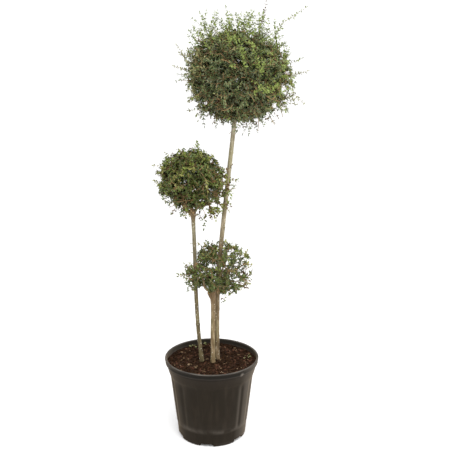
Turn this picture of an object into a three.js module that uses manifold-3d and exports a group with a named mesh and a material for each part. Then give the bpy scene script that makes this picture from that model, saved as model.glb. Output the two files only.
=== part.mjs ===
// A potted privet trained as three clipped balls, each on its own stem.
// Millimetres, +Z up. The origin is the middle of the pot's underside, and +Y points away from the viewer.

import * as THREE from "three";
import { mergeVertices } from "three/addons/utils/BufferGeometryUtils.js";
import Module from "manifold-3d";

const wasm = await Module();
wasm.setup();

// Gaps: between seated pieces, round a stem that only passes through a ball, and from a leaf to a limb.
const SEAT_GAP = 0.3;
const PASSING_GAP = 3;
const LEAF_GAP = 2;
const NEAR_ZERO = 1e-3;

// Pot: radii are to the outside of the wall.
const POT_HEIGHT = 375;
const RIM_RADIUS = 217;
const RIM_BAND_HEIGHT = 25;
const LIP_ROUND = 4;
const SHOULDER_RADIUS = 193;
const SHOULDER_DROP = 52;
const BODY_FOOT_RADIUS = 166;
const FOOT_HEIGHT = 62;
const FOOT_STEP = 8;
const FOOT_TOP_RADIUS = 163;
const BASE_RADIUS = 158;
const BASE_ROUND = 7;
const POT_WALL = 5;
const POT_FLOOR = 11;
const FLUTES = 16;
const FLUTE_DEPTH = 2.5;
const SEGMENTS_PER_FLUTE = 3;
const POT_SEGMENTS = SEGMENTS_PER_FLUTE * FLUTES;
const DRAIN_NOTCHES = 6;
const NOTCH_WIDTH = 62;
const NOTCH_HEIGHT = 8;
const NOTCH_DEPTH = 22;
const FIRST_NOTCH_TURN = THREE.MathUtils.degToRad(-99);

// Potting soil
const SOIL_SEED = 5;
const SOIL_LEVEL = POT_HEIGHT - 32;
const SOIL_RELIEF = 4;
const SOIL_RINGS = 4;
const SOIL_SEGMENTS = POT_SEGMENTS / 2;
const SOIL_FLAT_AROUND_STEM = 80;
const SOIL_WALL_RISE = 7;
const SOIL_DISH_RADIUS = 110;

// Stems: the middle line of each, from the soil to its tip or fork. A head is the swelling under a fork.
const STEM_SIDES = 12;
const STEM_STEP = 62;
const HEAD_STEPS = 3;
const SPINE_STEP = 4;
const ROOT_FLARE = 2.5;
const ROOT_FLARE_HEIGHT = 22;
const STEM_FOOT = SOIL_LEVEL + SEAT_GAP;
const STEMS = {
  tall_stem: {
    line: [
      [25, 33, STEM_FOOT],
      [26, 45, 556],
      [31, 46, 725],
      [49, 46, 935],
      [79, 45, 1213],
      [114, 45, 1532],
    ],
    footRadius: 11.2,
    tipRadius: 9.5,
    headSwell: 0,
    headHeight: 0,
  },
  left_stem: {
    line: [
      [-46, 8, STEM_FOOT],
      [-60, 12, 480],
      [-70, 14, 660],
      [-75, 14, 880],
      [-81, 11, 1062],
    ],
    footRadius: 9.2,
    tipRadius: 8.6,
    headSwell: 7,
    headHeight: 60,
  },
  short_stem: {
    line: [
      [6, -5, STEM_FOOT],
      [5, -2, 480],
      [7.5, 0, 610],
      [6, -4, 702],
    ],
    footRadius: 10,
    tipRadius: 9.6,
    headSwell: 6,
    headHeight: 110,
  },
};

// Boughs: short limbs from a stem's head into its ball, which the first of each set leads.
const BOUGH_SIDES = 8;
const BOUGH_STEPS = 4;
const BOUGH_START_DEPTH = 22;
const BOUGH_ROOT_RADIUS = 7.6;
const BOUGH_TIP_RADIUS = 5.4;
const BOUGHS = {
  middle_bough_right: { stem: "left_stem", tip: [-60, -2, 1122], swing: [8, 0, -8] },
  middle_bough_left: { stem: "left_stem", tip: [-132, -8, 1124], swing: [-10, 0, -14] },
  middle_bough_back: { stem: "left_stem", tip: [-92, 58, 1124], swing: [0, 8, -12] },
  lower_bough_right: { stem: "short_stem", tip: [40, 0, 746], swing: [10, 0, -8] },
  lower_bough_left: { stem: "short_stem", tip: [-38, -18, 748], swing: [-10, 0, -10] },
  lower_bough_back: { stem: "short_stem", tip: [-18, 36, 748], swing: [-4, 8, -10] },
};

// Balls: side, up and down are the clipped outline's reach from the centre. Squareness is given above and
// below the centre, and 2 is round. Lobes are directions in which the outline stands out by a share.
// Shoots are the tips of the straggling growth that stands out past the clipped outline.
const BALLS = {
  top_ball: {
    seed: 13,
    centre: [125, 45, 1648],
    side: 250,
    up: 214,
    down: 228,
    squareness: [2.3, 2.6],
    lobes: [
      { towards: [1, 0, -0.1], share: 0.07 },
      { towards: [0.7, 0, 0.7], share: -0.05 },
      { towards: [-0.85, 0, 0.5], share: 0.04 },
      { towards: [-0.85, 0, -0.55], share: 0.03 },
    ],
    coreShare: 0.69,
    sprays: 22,
    twigs: 78,
    leafLength: 54,
    carriedBy: "tall_stem",
    newGrowth: 7,
    newGrowthLength: 62,
    shoots: [
      [236, 20, 1956],
      [411, 62, 1926],
      [424, 40, 1662],
      [388, -20, 1712],
      [300, -90, 1858],
      [232, 40, 1428],
    ],
  },
  middle_ball: {
    seed: 23,
    centre: [-84, 4, 1203],
    side: 170,
    up: 138,
    down: 154,
    squareness: [2.1, 2.6],
    lobes: [
      { towards: [0.85, 0, -0.5], share: 0.16 },
      { towards: [0.2, 0, -1], share: 0.06 },
      { towards: [0.6, 0, 0.75], share: -0.05 },
    ],
    coreShare: 0.63,
    sprays: 13,
    twigs: 43,
    leafLength: 42,
    carriedBy: "middle_bough_right",
    newGrowth: 2,
    newGrowthLength: 36,
    shoots: [
      [124, -22, 1190],
      [-32, -64, 988],
      [-60, -8, 1356],
    ],
  },
  lower_ball: {
    seed: 38,
    centre: [30, -8, 775],
    side: 174,
    up: 153,
    down: 84,
    squareness: [2.2, 3],
    lobes: [
      { towards: [0.5, 0, 0.85], share: 0.05 },
      { towards: [-0.85, 0, -0.5], share: 0.1 },
      { towards: [0.85, 0, -0.5], share: 0.08 },
      { towards: [-1, 0, 0.2], share: -0.06 },
    ],
    coreShare: 0.55,
    sprays: 12,
    twigs: 37,
    leafLength: 42,
    carriedBy: "lower_bough_right",
    newGrowth: 2,
    newGrowthLength: 30,
    shoots: [
      [58, -58, 660],
      [-150, -20, 762],
    ],
  },
};

// Growth rule shared by the balls. Shares are of the clipped reach in a twig's own direction.
const CORE_DETAIL = 3;
const CORE_LUMP = 0.07;
const OUTLINE_LUMP = 0.05;
const LUMP_WAVES = 5;
const LOBE_SHARPNESS = 8;
const SPREAD_JITTER = 0.16;
const FORK_SHARE_OF_CORE = 0.8;
const NEW_GROWTH_ZONE = 0.25;
const NEW_GROWTH_ROOT_SHARE = 0.9;
const NEW_GROWTH_LIFT = 0.5;
const TWIG_RADIUS = 4;
const SHOOT_RADIUS = 3.4;
const TWIG_BARE_SHARE = 0.74;
const SHOOT_PAIR_SPACING = 95;
const SHOOT_BARE_SHARES = [0.4, 0.7];
const SHOOT_LEAF_SHARE = 0.7;

// Leaves: opposite pairs along a twig and one at its tip.
const LEAF_ANGLE = THREE.MathUtils.degToRad(48);
const LEAF_WIDTH_SHARE = 0.58;
const LEAF_THICK_SHARE = 0.06;
const LEAF_LENGTH_SPREAD = 0.12;
const LEAF_SUNK = 0.5;
const TIP_LEAF_SUNK = 8;
const LEAF_BOUND = 10;
const LEAF_LIFT = 0.35;
const BALL_STEM_RADIUS = 4.6;
const BALL_STEM_OVERLAP = 2;
const BALL_STEM_END_SHARE = 0.35;
const GOLDEN_ANGLE = Math.PI * (3 - Math.sqrt(5));

// Finishes
const FINISHES = {
  pot: { color: "#37312a", roughness: 0.62, metalness: 0 },
  soil: { color: "#34251a", roughness: 0.95, metalness: 0 },
  bark: { color: "#94866a", roughness: 0.85, metalness: 0 },
  leaves: { color: "#4d5a30", roughness: 0.6, metalness: 0 },
};

const vector = (p) => new THREE.Vector3(...p);

// Repeatable random numbers from 0 to 1.
function randomStream(seed) {
  let state = seed >>> 0;
  return () => {
    state = (state + 0x6d2b79f5) >>> 0;
    let mixed = Math.imul(state ^ (state >>> 15), state | 1);
    mixed = (mixed + Math.imul(mixed ^ (mixed >>> 7), mixed | 61)) ^ mixed;
    return ((mixed ^ (mixed >>> 14)) >>> 0) / 2 ** 32;
  };
}

// Solids for joining and cutting

// A geometry with only its positions, and each shared corner held once.
function bareGeometry(geometry) {
  const bare = geometry.clone();
  bare.deleteAttribute("normal");
  bare.deleteAttribute("uv");
  return mergeVertices(bare, NEAR_ZERO);
}

function toSolid(geometry) {
  const bare = bareGeometry(geometry);
  return new wasm.Manifold(
    new wasm.Mesh({
      numProp: 3,
      vertProperties: bare.attributes.position.array,
      triVerts: new Uint32Array(bare.index.array),
    }),
  );
}

function toGeometry(solid) {
  const mesh = solid.getMesh();
  const geometry = new THREE.BufferGeometry();
  geometry.setAttribute("position", new THREE.BufferAttribute(mesh.vertProperties, 3));
  geometry.setIndex(new THREE.BufferAttribute(mesh.triVerts, 1));
  geometry.computeVertexNormals();
  return geometry;
}

const joined = (solids) => solids.reduce((whole, next) => whole.add(next));

// The largest body of a solid, without the scraps that a cut leaves.
function mainBody(solid) {
  return solid.decompose().reduce((best, body) => (body.volume() > best.volume() ? body : best));
}

function piece(name, geometry, finish, place = [0, 0, 0]) {
  const mesh = new THREE.Mesh(geometry, new THREE.MeshStandardMaterial(FINISHES[finish]));
  mesh.name = name;
  mesh.position.set(...place);
  return mesh;
}

// Pot and soil

// A closed profile of [radius, height] pairs turned round the Z axis.
function turned(profile, segments) {
  const points = profile.map(([radius, height]) => new THREE.Vector2(radius, height));
  return new THREE.LatheGeometry(points, segments).rotateX(Math.PI / 2);
}

const SHOULDER_HEIGHT = POT_HEIGHT - RIM_BAND_HEIGHT - SHOULDER_DROP;
const FLUTE_FOOT = FOOT_HEIGHT + FOOT_STEP;

function potInside(gap) {
  return [
    [BASE_RADIUS - POT_WALL - gap, POT_FLOOR + gap],
    [FOOT_TOP_RADIUS - POT_WALL - gap, FOOT_HEIGHT],
    [BODY_FOOT_RADIUS - POT_WALL - gap, FLUTE_FOOT + POT_WALL],
    [SHOULDER_RADIUS - POT_WALL - gap, SHOULDER_HEIGHT],
    [RIM_RADIUS - POT_WALL - gap, POT_HEIGHT - RIM_BAND_HEIGHT],
  ];
}

function potGeometry() {
  const fluteTop = SHOULDER_HEIGHT - FOOT_STEP;
  const fluteTopRadius = THREE.MathUtils.mapLinear(
    fluteTop, FLUTE_FOOT, SHOULDER_HEIGHT, BODY_FOOT_RADIUS, SHOULDER_RADIUS,
  );
  const outside = [
    [BASE_RADIUS - BASE_ROUND, 0],
    [BASE_RADIUS, BASE_ROUND],
    [FOOT_TOP_RADIUS, FOOT_HEIGHT],
    [BODY_FOOT_RADIUS, FLUTE_FOOT],
    [fluteTopRadius, fluteTop],
    [SHOULDER_RADIUS, SHOULDER_HEIGHT],
    [RIM_RADIUS - LIP_ROUND, POT_HEIGHT - RIM_BAND_HEIGHT],
    [RIM_RADIUS, POT_HEIGHT - RIM_BAND_HEIGHT + LIP_ROUND],
    [RIM_RADIUS, POT_HEIGHT - LIP_ROUND],
    [RIM_RADIUS - LIP_ROUND / 2, POT_HEIGHT],
    [RIM_RADIUS - POT_WALL, POT_HEIGHT],
  ];
  const profile = [[0, 0], ...outside, ...potInside(0).reverse(), [0, POT_FLOOR]];
  const geometry = turned(profile, POT_SEGMENTS);
  const position = geometry.attributes.position;
  const isAt = (radius, height, ringRadius, ringHeight) =>
    Math.abs(radius - ringRadius) < NEAR_ZERO && Math.abs(height - ringHeight) < NEAR_ZERO;
  const isFluted = (radius, height) =>
    isAt(radius, height, BODY_FOOT_RADIUS, FLUTE_FOOT) || isAt(radius, height, fluteTopRadius, fluteTop);
  for (let i = 0; i < position.count; i++) {
    const radius = Math.hypot(position.getX(i), position.getY(i));
    if (!isFluted(radius, position.getZ(i))) continue;
    const turn = Math.atan2(position.getY(i), position.getX(i)) + 2 * Math.PI;
    const segment = Math.round((turn / (2 * Math.PI)) * POT_SEGMENTS);
    if (segment % SEGMENTS_PER_FLUTE !== 0) continue;
    const scale = (radius - FLUTE_DEPTH) / radius;
    position.setXY(i, position.getX(i) * scale, position.getY(i) * scale);
  }
  const notch = new THREE.BoxGeometry(2 * NOTCH_DEPTH, NOTCH_WIDTH, 2 * NOTCH_HEIGHT);
  notch.translate(BASE_RADIUS, 0, 0);
  let pot = toSolid(geometry);
  for (let i = 0; i < DRAIN_NOTCHES; i++) {
    const turn = FIRST_NOTCH_TURN + (i * 2 * Math.PI) / DRAIN_NOTCHES;
    pot = pot.subtract(toSolid(notch.clone().rotateZ(turn)));
  }
  return toGeometry(pot);
}

function soilGeometry() {
  const random = randomStream(SOIL_SEED);
  const wall = potInside(SEAT_GAP);
  const [bandRadius, bandFoot] = wall.pop();
  const [shoulderRadius, shoulderHeight] = wall.at(-1);
  const rimRadius = THREE.MathUtils.mapLinear(
    SOIL_LEVEL + SOIL_WALL_RISE, shoulderHeight, bandFoot, shoulderRadius, bandRadius,
  );
  const top = Array.from({ length: SOIL_RINGS }, (_, i) => {
    const radius = rimRadius * (1 - i / SOIL_RINGS);
    const rise = SOIL_WALL_RISE * THREE.MathUtils.smoothstep(radius, SOIL_DISH_RADIUS, rimRadius);
    return [radius, SOIL_LEVEL + rise];
  });
  const profile = [[0, POT_FLOOR + SEAT_GAP], ...wall, ...top, [0, SOIL_LEVEL]];
  const geometry = turned(profile, SOIL_SEGMENTS);
  const position = geometry.attributes.position;
  const relief = new Map();
  const feet = Object.values(STEMS).map(({ line }) => vector(line[0]));
  for (let i = 0; i < position.count; i++) {
    const point = new THREE.Vector3().fromBufferAttribute(position, i);
    if (point.z < SOIL_LEVEL - NEAR_ZERO) continue;
    const away = Math.min(...feet.map((foot) => Math.hypot(foot.x - point.x, foot.y - point.y)));
    const atWall = Math.hypot(point.x, point.y) > rimRadius - NEAR_ZERO;
    if (atWall || away < SOIL_FLAT_AROUND_STEM) continue;
    const key = `${Math.round(point.x)} ${Math.round(point.y)}`;
    if (!relief.has(key)) relief.set(key, (2 * random() - 1) * SOIL_RELIEF);
    position.setZ(i, point.z + relief.get(key));
  }
  return toGeometry(toSolid(geometry));
}

// Limbs

// A closed cylinder bent along a smooth curve, with a radius for each share of its length.
// A level limb has every ring flat, so that its foot is a flat cut.
function limbGeometry(line, radiusAt, sides, steps, level = false) {
  const curve = new THREE.CatmullRomCurve3(line.map(vector), false, "centripetal");
  const geometry = new THREE.CylinderGeometry(1, 1, 1, sides, steps);
  const position = geometry.attributes.position;
  const up = new THREE.Vector3(0, 0, 1);
  for (let i = 0; i < position.count; i++) {
    const share = THREE.MathUtils.clamp(position.getY(i) + 0.5, 0, 1);
    const along = level ? up : curve.getTangentAt(share);
    const across = new THREE.Vector3(1, 0, 0).addScaledVector(along, -along.x).normalize();
    const beside = new THREE.Vector3().crossVectors(across, along);
    const radius = radiusAt(share);
    const point = curve
      .getPointAt(share)
      .addScaledVector(across, radius * position.getX(i))
      .addScaledVector(beside, radius * position.getZ(i));
    position.setXYZ(i, point.x, point.y, point.z);
  }
  return geometry;
}

function stemLimb({ line, footRadius, tipRadius, headSwell, headHeight }, grown = 0) {
  const ends = [line[0][2], line.at(-1)[2]];
  const height = ends[1] - ends[0];
  const radiusAt = (share) =>
    THREE.MathUtils.lerp(footRadius, tipRadius, share) +
    ROOT_FLARE * Math.exp((-share * height) / ROOT_FLARE_HEIGHT) +
    headSwell * THREE.MathUtils.smoothstep(share * height, height - headHeight, height) +
    grown;
  const stretched = line.map((p) => [...p]);
  stretched[0][2] -= grown;
  stretched.at(-1)[2] += grown;
  const steps = Math.ceil(height / STEM_STEP) + (headSwell > 0 ? HEAD_STEPS : 0);
  return limbGeometry(stretched, radiusAt, STEM_SIDES, steps, true);
}

// A bough's middle line, from inside its stem's head by way of a bend to its tip.
function boughLine({ stem, tip, swing }, grown = 0) {
  const root = vector(STEMS[stem].line.at(-1));
  root.z -= BOUGH_START_DEPTH;
  const end = vector(tip);
  const bend = root.clone().lerp(end, 0.5).add(vector(swing));
  end.addScaledVector(end.clone().sub(bend).normalize(), grown);
  return [root, bend, end].map((point) => point.toArray());
}

function boughLimb(bough, grown = 0) {
  const radiusAt = (share) => THREE.MathUtils.lerp(BOUGH_ROOT_RADIUS, BOUGH_TIP_RADIUS, share) + grown;
  return limbGeometry(boughLine(bough, grown), radiusAt, BOUGH_SIDES, BOUGH_STEPS);
}

// Each limb as points with radii, to keep leaves off it.
function limbSpine(line, radius) {
  const curve = new THREE.CatmullRomCurve3(line.map(vector), false, "centripetal");
  return curve.getSpacedPoints(Math.ceil(curve.getLength() / SPINE_STEP)).map((point) => ({ point, radius }));
}

// Balls

// Even directions round a sphere, each nudged a little.
function spreadDirections(count, random) {
  return Array.from({ length: count }, (_, i) => {
    const height = 1 - (2 * i + 1) / count;
    const ring = Math.sqrt(1 - height * height);
    const turn = i * GOLDEN_ANGLE;
    const nudge = () => (2 * random() - 1) * SPREAD_JITTER;
    return new THREE.Vector3(
      ring * Math.cos(turn) + nudge(),
      ring * Math.sin(turn) + nudge(),
      height + nudge(),
    ).normalize();
  });
}

// How far the clipped outline lies from the ball's centre in a direction.
function clippedReach({ side, up, down, squareness, lobes, seed }, direction) {
  const level = Math.hypot(direction.x, direction.y) / side;
  const rises = direction.z > 0;
  const upright = Math.abs(direction.z) / (rises ? up : down);
  const power = squareness[rises ? 0 : 1];
  const wave = direction.clone().multiplyScalar(LUMP_WAVES);
  const lump = Math.sin(wave.x + seed) * Math.sin(wave.y + 2 * seed) * Math.sin(wave.z + 3 * seed);
  const bulge = lobes.reduce((sum, { towards, share }) => {
    const off = 1 - vector(towards).normalize().dot(direction);
    return sum + share * Math.exp(-LOBE_SHARPNESS * off);
  }, OUTLINE_LUMP * lump);
  return (level ** power + upright ** power) ** (-1 / power) * (1 + bulge);
}

// The dense heart of a clipped ball, lumpy and smaller than its outline.
function coreSolid(ball, random) {
  const geometry = bareGeometry(new THREE.IcosahedronGeometry(1, CORE_DETAIL));
  const position = geometry.attributes.position;
  for (let i = 0; i < position.count; i++) {
    const direction = new THREE.Vector3().fromBufferAttribute(position, i).normalize();
    const share = ball.coreShare * (1 + (2 * random() - 1) * CORE_LUMP);
    const point = direction.clone().multiplyScalar(clippedReach(ball, direction) * share);
    position.setXYZ(i, point.x, point.y, point.z);
  }
  return toSolid(geometry);
}

// A three-sided twig that tapers to a point.
function twigSolid({ from, to, radius }) {
  const along = to.clone().sub(from);
  const length = along.length();
  const turn = new THREE.Quaternion().setFromUnitVectors(new THREE.Vector3(0, 1, 0), along.normalize());
  const cone = new THREE.ConeGeometry(radius, length, 3, 1).translate(0, length / 2, 0);
  return toSolid(cone.applyQuaternion(turn).translate(...from.toArray()));
}

// A leaf blade of six faces, folded up a little from its midrib.
function leafSolid({ root, along, across, length }) {
  const normal = new THREE.Vector3().crossVectors(along, across);
  const blade = new THREE.SphereGeometry(0.5, 3, 2)
    .scale(length * LEAF_THICK_SHARE, length, length * LEAF_WIDTH_SHARE)
    .translate(0, length / 2, 0);
  return toSolid(blade.applyMatrix4(new THREE.Matrix4().makeBasis(normal, along, across).setPosition(root)));
}

// Sprays fork inside the core, and each twig leaves the fork whose direction is nearest to its own.
// A fork, twig or shoot that would touch a limb is left out.
function growTwigs(ball, random, isClear) {
  const clearOnly = (twigs) => twigs.filter(({ from, to, radius }) => isClear(pointsAlong(from, to), radius));
  const forks = spreadDirections(ball.sprays, random)
    .map((direction) => {
      const distance = clippedReach(ball, direction) * ball.coreShare * FORK_SHARE_OF_CORE;
      return { direction, place: direction.clone().multiplyScalar(distance) };
    })
    .filter(({ place }) => isClear([place], TWIG_RADIUS));
  const shoots = shootTips(ball, random).map((tip) => shootTo(tip, ball));
  const twigs = spreadDirections(ball.twigs, random).map((direction) => {
    const nearest = forks.reduce((best, fork) =>
      fork.direction.dot(direction) > best.direction.dot(direction) ? fork : best,
    );
    const leafLength = ball.leafLength * (1 + (2 * random() - 1) * LEAF_LENGTH_SPREAD);
    return {
      direction,
      from: nearest.place,
      to: direction.clone().multiplyScalar(clippedReach(ball, direction) - leafLength + TIP_LEAF_SUNK),
      radius: TWIG_RADIUS,
      pairs: 1,
      bareShare: TWIG_BARE_SHARE,
      leafLength,
    };
  });
  return [...clearOnly(shoots), ...clearOnly(twigs)];
}

// New growth rises from the zone round the ball's top, and the straggling tips are given.
function shootTips(ball, random) {
  const fresh = spreadDirections(ball.newGrowth / NEW_GROWTH_ZONE, random)
    .slice(0, ball.newGrowth)
    .map((direction) => {
      const rising = direction.clone().add(new THREE.Vector3(0, 0, NEW_GROWTH_LIFT)).normalize();
      const root = direction.clone().multiplyScalar(clippedReach(ball, direction) * NEW_GROWTH_ROOT_SHARE);
      return root.addScaledVector(rising, ball.newGrowthLength);
    });
  const centre = vector(ball.centre);
  return [...fresh, ...ball.shoots.map((tip) => vector(tip).sub(centre))];
}

function shootTo(tip, ball) {
  const direction = tip.clone().normalize();
  const reach = clippedReach(ball, direction);
  const rootDistance = reach * ball.coreShare * FORK_SHARE_OF_CORE;
  const leafLength = ball.leafLength * SHOOT_LEAF_SHARE;
  const endDistance = tip.length() - leafLength + TIP_LEAF_SUNK;
  const inside = (reach - rootDistance) / (endDistance - rootDistance);
  return {
    direction,
    from: direction.clone().multiplyScalar(rootDistance),
    to: direction.clone().multiplyScalar(endDistance),
    radius: SHOOT_RADIUS,
    pairs: Math.ceil((endDistance - reach) / SHOOT_PAIR_SPACING) + 1,
    bareShare: THREE.MathUtils.clamp(inside, ...SHOOT_BARE_SHARES),
    leafLength,
  };
}

// Opposite leaves on a twig, each pair square to the one before, and one leaf at the tip.
function growLeaves({ direction, from, to, pairs, bareShare, leafLength }, random) {
  const along = to.clone().sub(from).normalize();
  const facing = direction.clone().add(new THREE.Vector3(0, 0, LEAF_LIFT)).normalize();
  const tilt = new THREE.Vector3(random() - 0.5, random() - 0.5, 1);
  const aside = new THREE.Vector3().crossVectors(along, tilt).normalize();
  const leaves = [leafOn(to, along, aside, leafLength, TIP_LEAF_SUNK)];
  for (let pair = 0; pair < pairs; pair++) {
    const joint = from.clone().lerp(to, THREE.MathUtils.lerp(bareShare, 1, pair / pairs));
    const sideways = aside.clone().applyAxisAngle(along, (pair * Math.PI) / 2);
    for (const hand of [1, -1]) {
      const heading = along
        .clone()
        .multiplyScalar(Math.cos(LEAF_ANGLE))
        .addScaledVector(sideways, hand * Math.sin(LEAF_ANGLE))
        .normalize();
      leaves.push(leafOn(joint, heading, facing, leafLength, LEAF_SUNK));
    }
  }
  return leaves;
}

function leafOn(joint, along, facing, length, sunk) {
  return {
    root: joint.clone().addScaledVector(along, -sunk),
    along,
    across: new THREE.Vector3().crossVectors(facing, along).normalize(),
    length,
  };
}

function pointsAlong(from, to) {
  const steps = Math.ceil(from.distanceTo(to) / SPINE_STEP);
  return Array.from({ length: steps + 1 }, (_, i) => from.clone().lerp(to, i / steps));
}

// The middle, tip and two edges of a leaf.
function bladePoints({ root, along, across, length }) {
  const middle = root.clone().addScaledVector(along, length / 2);
  const halfWidth = (length * LEAF_WIDTH_SHARE) / 2;
  return [
    middle,
    root.clone().addScaledVector(along, length),
    middle.clone().addScaledVector(across, halfWidth),
    middle.clone().addScaledVector(across, -halfWidth),
  ];
}

// The part of a leaf that stands out of its twig.
function freePart({ root, along, across, length }) {
  const start = root.clone().addScaledVector(along, LEAF_BOUND);
  return { root: start, along, across, length: length - LEAF_BOUND };
}

// One clipped ball as a single solid about its own centre: stem, core, twigs and leaves joined,
// with the core cut well clear of the stems that pass through it.
// A leaf that would touch a limb, or cross the core, a twig or another leaf, is left out.
function ballGeometry(ball, limbs) {
  const random = randomStream(ball.seed);
  const home = vector(ball.centre).negate();
  const nodes = limbs.flatMap(({ spine }) =>
    spine.map(({ point, radius }) => ({ point: point.clone().add(home), radius })));
  const isClear = (points, radius) => nodes.every((node) =>
    points.every((point) => point.distanceTo(node.point) > node.radius + radius + LEAF_GAP));
  const cutClear = (solid, gapFor) => limbs.reduce((left, limb) =>
    left.subtract(toSolid(limb.grownBy(gapFor(limb)).translate(...home.toArray()))), solid);

  const core = cutClear(coreSolid(ball, random), ({ passes }) => (passes(ball) ? PASSING_GAP : SEAT_GAP));
  const twigs = growTwigs(ball, random, isClear);
  let whole = joined([mainBody(core), ballStemSolid(ball, home), ...twigs.map(twigSolid)]);
  for (const leaf of twigs.flatMap((twig) => growLeaves(twig, random))) {
    const crosses = !whole.intersect(leafSolid(freePart(leaf))).isEmpty();
    if (!crosses && isClear(bladePoints(leaf), 0)) whole = whole.add(leafSolid(leaf));
  }
  return toGeometry(mainBody(cutClear(whole, () => SEAT_GAP)));
}

// The ball's own stem, from just inside the tip of the limb that carries the ball to the core.
function ballStemSolid(ball, home) {
  const carrierTip = STEMS[ball.carriedBy]?.line.at(-1) ?? BOUGHS[ball.carriedBy].tip;
  const start = vector(carrierTip).add(home);
  const end = start.clone().multiplyScalar(BALL_STEM_END_SHARE);
  start.z -= BALL_STEM_OVERLAP;
  return toSolid(limbGeometry([start.toArray(), end.toArray()], () => BALL_STEM_RADIUS, BOUGH_SIDES, 1));
}

// Assembly

const plant = new THREE.Group();
plant.add(piece("pot", potGeometry(), "pot"));
plant.add(piece("soil", soilGeometry(), "soil"));

const limbs = [];
for (const [name, stem] of Object.entries(STEMS)) {
  plant.add(piece(name, stemLimb(stem), "bark"));
  limbs.push({
    passes: (ball) => ball.carriedBy !== name,
    grownBy: (gap) => stemLimb(stem, gap),
    spine: limbSpine(stem.line, stem.footRadius),
  });
}

const boughsMade = [];
for (const [name, bough] of Object.entries(BOUGHS)) {
  const sisters = boughsMade.filter(({ stem }) => stem === bough.stem);
  const neighbours = sisters.map((other) => boughLimb(other, SEAT_GAP));
  neighbours.push(stemLimb(STEMS[bough.stem], SEAT_GAP));
  const limb = neighbours.reduce((left, other) => left.subtract(toSolid(other)), toSolid(boughLimb(bough)));
  plant.add(piece(name, toGeometry(mainBody(limb)), "bark"));
  boughsMade.push(bough);
  limbs.push({
    passes: () => false,
    grownBy: (gap) => boughLimb(bough, gap),
    spine: limbSpine(boughLine(bough), BOUGH_ROOT_RADIUS),
  });
}

for (const [name, ball] of Object.entries(BALLS)) {
  plant.add(piece(name, ballGeometry(ball, limbs), "leaves", ball.centre));
}

export default plant;
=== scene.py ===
"""Looks of a potted privet that is trained as three clipped balls.

Metres, +Z up. The origin is the middle of the pot's underside, and +Y points away from the viewer.
"""

import math

import bpy
import numpy as np
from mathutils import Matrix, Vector, noise


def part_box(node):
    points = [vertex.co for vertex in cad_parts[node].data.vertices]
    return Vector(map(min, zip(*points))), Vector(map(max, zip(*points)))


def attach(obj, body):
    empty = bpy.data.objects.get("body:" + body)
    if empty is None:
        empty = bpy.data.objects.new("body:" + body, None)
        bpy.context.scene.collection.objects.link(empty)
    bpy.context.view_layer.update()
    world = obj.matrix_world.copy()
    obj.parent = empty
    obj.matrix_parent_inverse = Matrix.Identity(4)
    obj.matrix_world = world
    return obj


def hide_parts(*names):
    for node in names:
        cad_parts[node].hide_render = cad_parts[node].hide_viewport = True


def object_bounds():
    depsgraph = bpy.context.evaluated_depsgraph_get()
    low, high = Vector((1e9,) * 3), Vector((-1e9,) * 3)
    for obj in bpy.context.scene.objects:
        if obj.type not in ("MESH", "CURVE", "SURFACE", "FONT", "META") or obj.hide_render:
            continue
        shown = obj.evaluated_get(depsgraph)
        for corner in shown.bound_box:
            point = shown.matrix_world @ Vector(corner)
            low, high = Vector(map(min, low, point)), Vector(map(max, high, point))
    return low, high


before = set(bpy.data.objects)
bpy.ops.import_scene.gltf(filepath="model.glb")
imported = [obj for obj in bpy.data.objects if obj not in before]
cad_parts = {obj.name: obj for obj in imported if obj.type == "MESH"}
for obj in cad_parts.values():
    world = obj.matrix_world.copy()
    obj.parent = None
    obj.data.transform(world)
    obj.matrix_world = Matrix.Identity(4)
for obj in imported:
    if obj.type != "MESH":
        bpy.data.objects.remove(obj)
CAD_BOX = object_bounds()
MM = 0.001

# Studio. The camera is turned down and to the right. A softbox has a place, a target, a width and a power.
CAMERA_PLACE = (0, -2.7515, 1.55)
CAMERA_DOWN = math.radians(11.542)
CAMERA_RIGHT = math.radians(1.38)
LENS_MM = 50.226
SENSOR_MM = 36
SOFTBOXES = {
    "overhead_softbox": ((0.3, -2.4, 3.9), (0, 0, 1.0), 2.8, 104),
    "right_softbox": ((2.5, -1.7, 2.1), (0, 0, 0.9), 1.8, 28),
}
WORLD_STRENGTH = 1.12
FLOOR_REACH = 60

# Pot: radii are to the outside of the wall.
POT_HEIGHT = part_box("pot")[1].z
RIM_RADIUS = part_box("pot")[1].x
LIP_ROUND = 0.005
BAND_FOOT = POT_HEIGHT - 0.025
BAND_RADIUS = RIM_RADIUS - 0.0025
SHOULDER_RADIUS = 0.193
SHOULDER_HEIGHT = POT_HEIGHT - 0.077
BODY_TOP = SHOULDER_HEIGHT - 0.006
BODY_FOOT_RADIUS = 0.166
FOOT_HEIGHT = 0.062
BODY_FOOT = FOOT_HEIGHT + 0.008
FOOT_TOP_RADIUS = 0.163
BASE_RADIUS = 0.158
BASE_ROUND = 0.008
POT_WALL = 0.005
POT_FLOOR = 0.011
INSIDE_POINTS = 7
FLUTES = 16
FLUTE_DEPTH = 0.0025
FLUTE_END = 0.012
FLUTE_SHARPNESS = 4
POT_SEGMENTS = 18 * FLUTES
NOTCHES = 6
NOTCH_HALF_ANGLE = math.radians(11.5)
NOTCH_HEIGHT = 0.011
NOTCH_DEPTH = 0.022
FIRST_NOTCH_TURN = math.radians(-99)

# Wear and painted light on the pot: shares of pale rubbing, which also paints the lip's highlight, and of
# painted light on the right side and the inner wall, and the place and reach of a scratch on the rim band
# whose glint is painted
LIP_WEAR_AND_HIGHLIGHT = 0.45
RIGHT_SIDE_PAINTED_LIGHT = 0.24
INNER_WALL_PAINTED_LIGHT = 0.09
SCRATCH_GLINT_PLACE = (0.134, -0.168, 0.352)
SCRATCH_GLINT_REACH = 0.013

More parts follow.
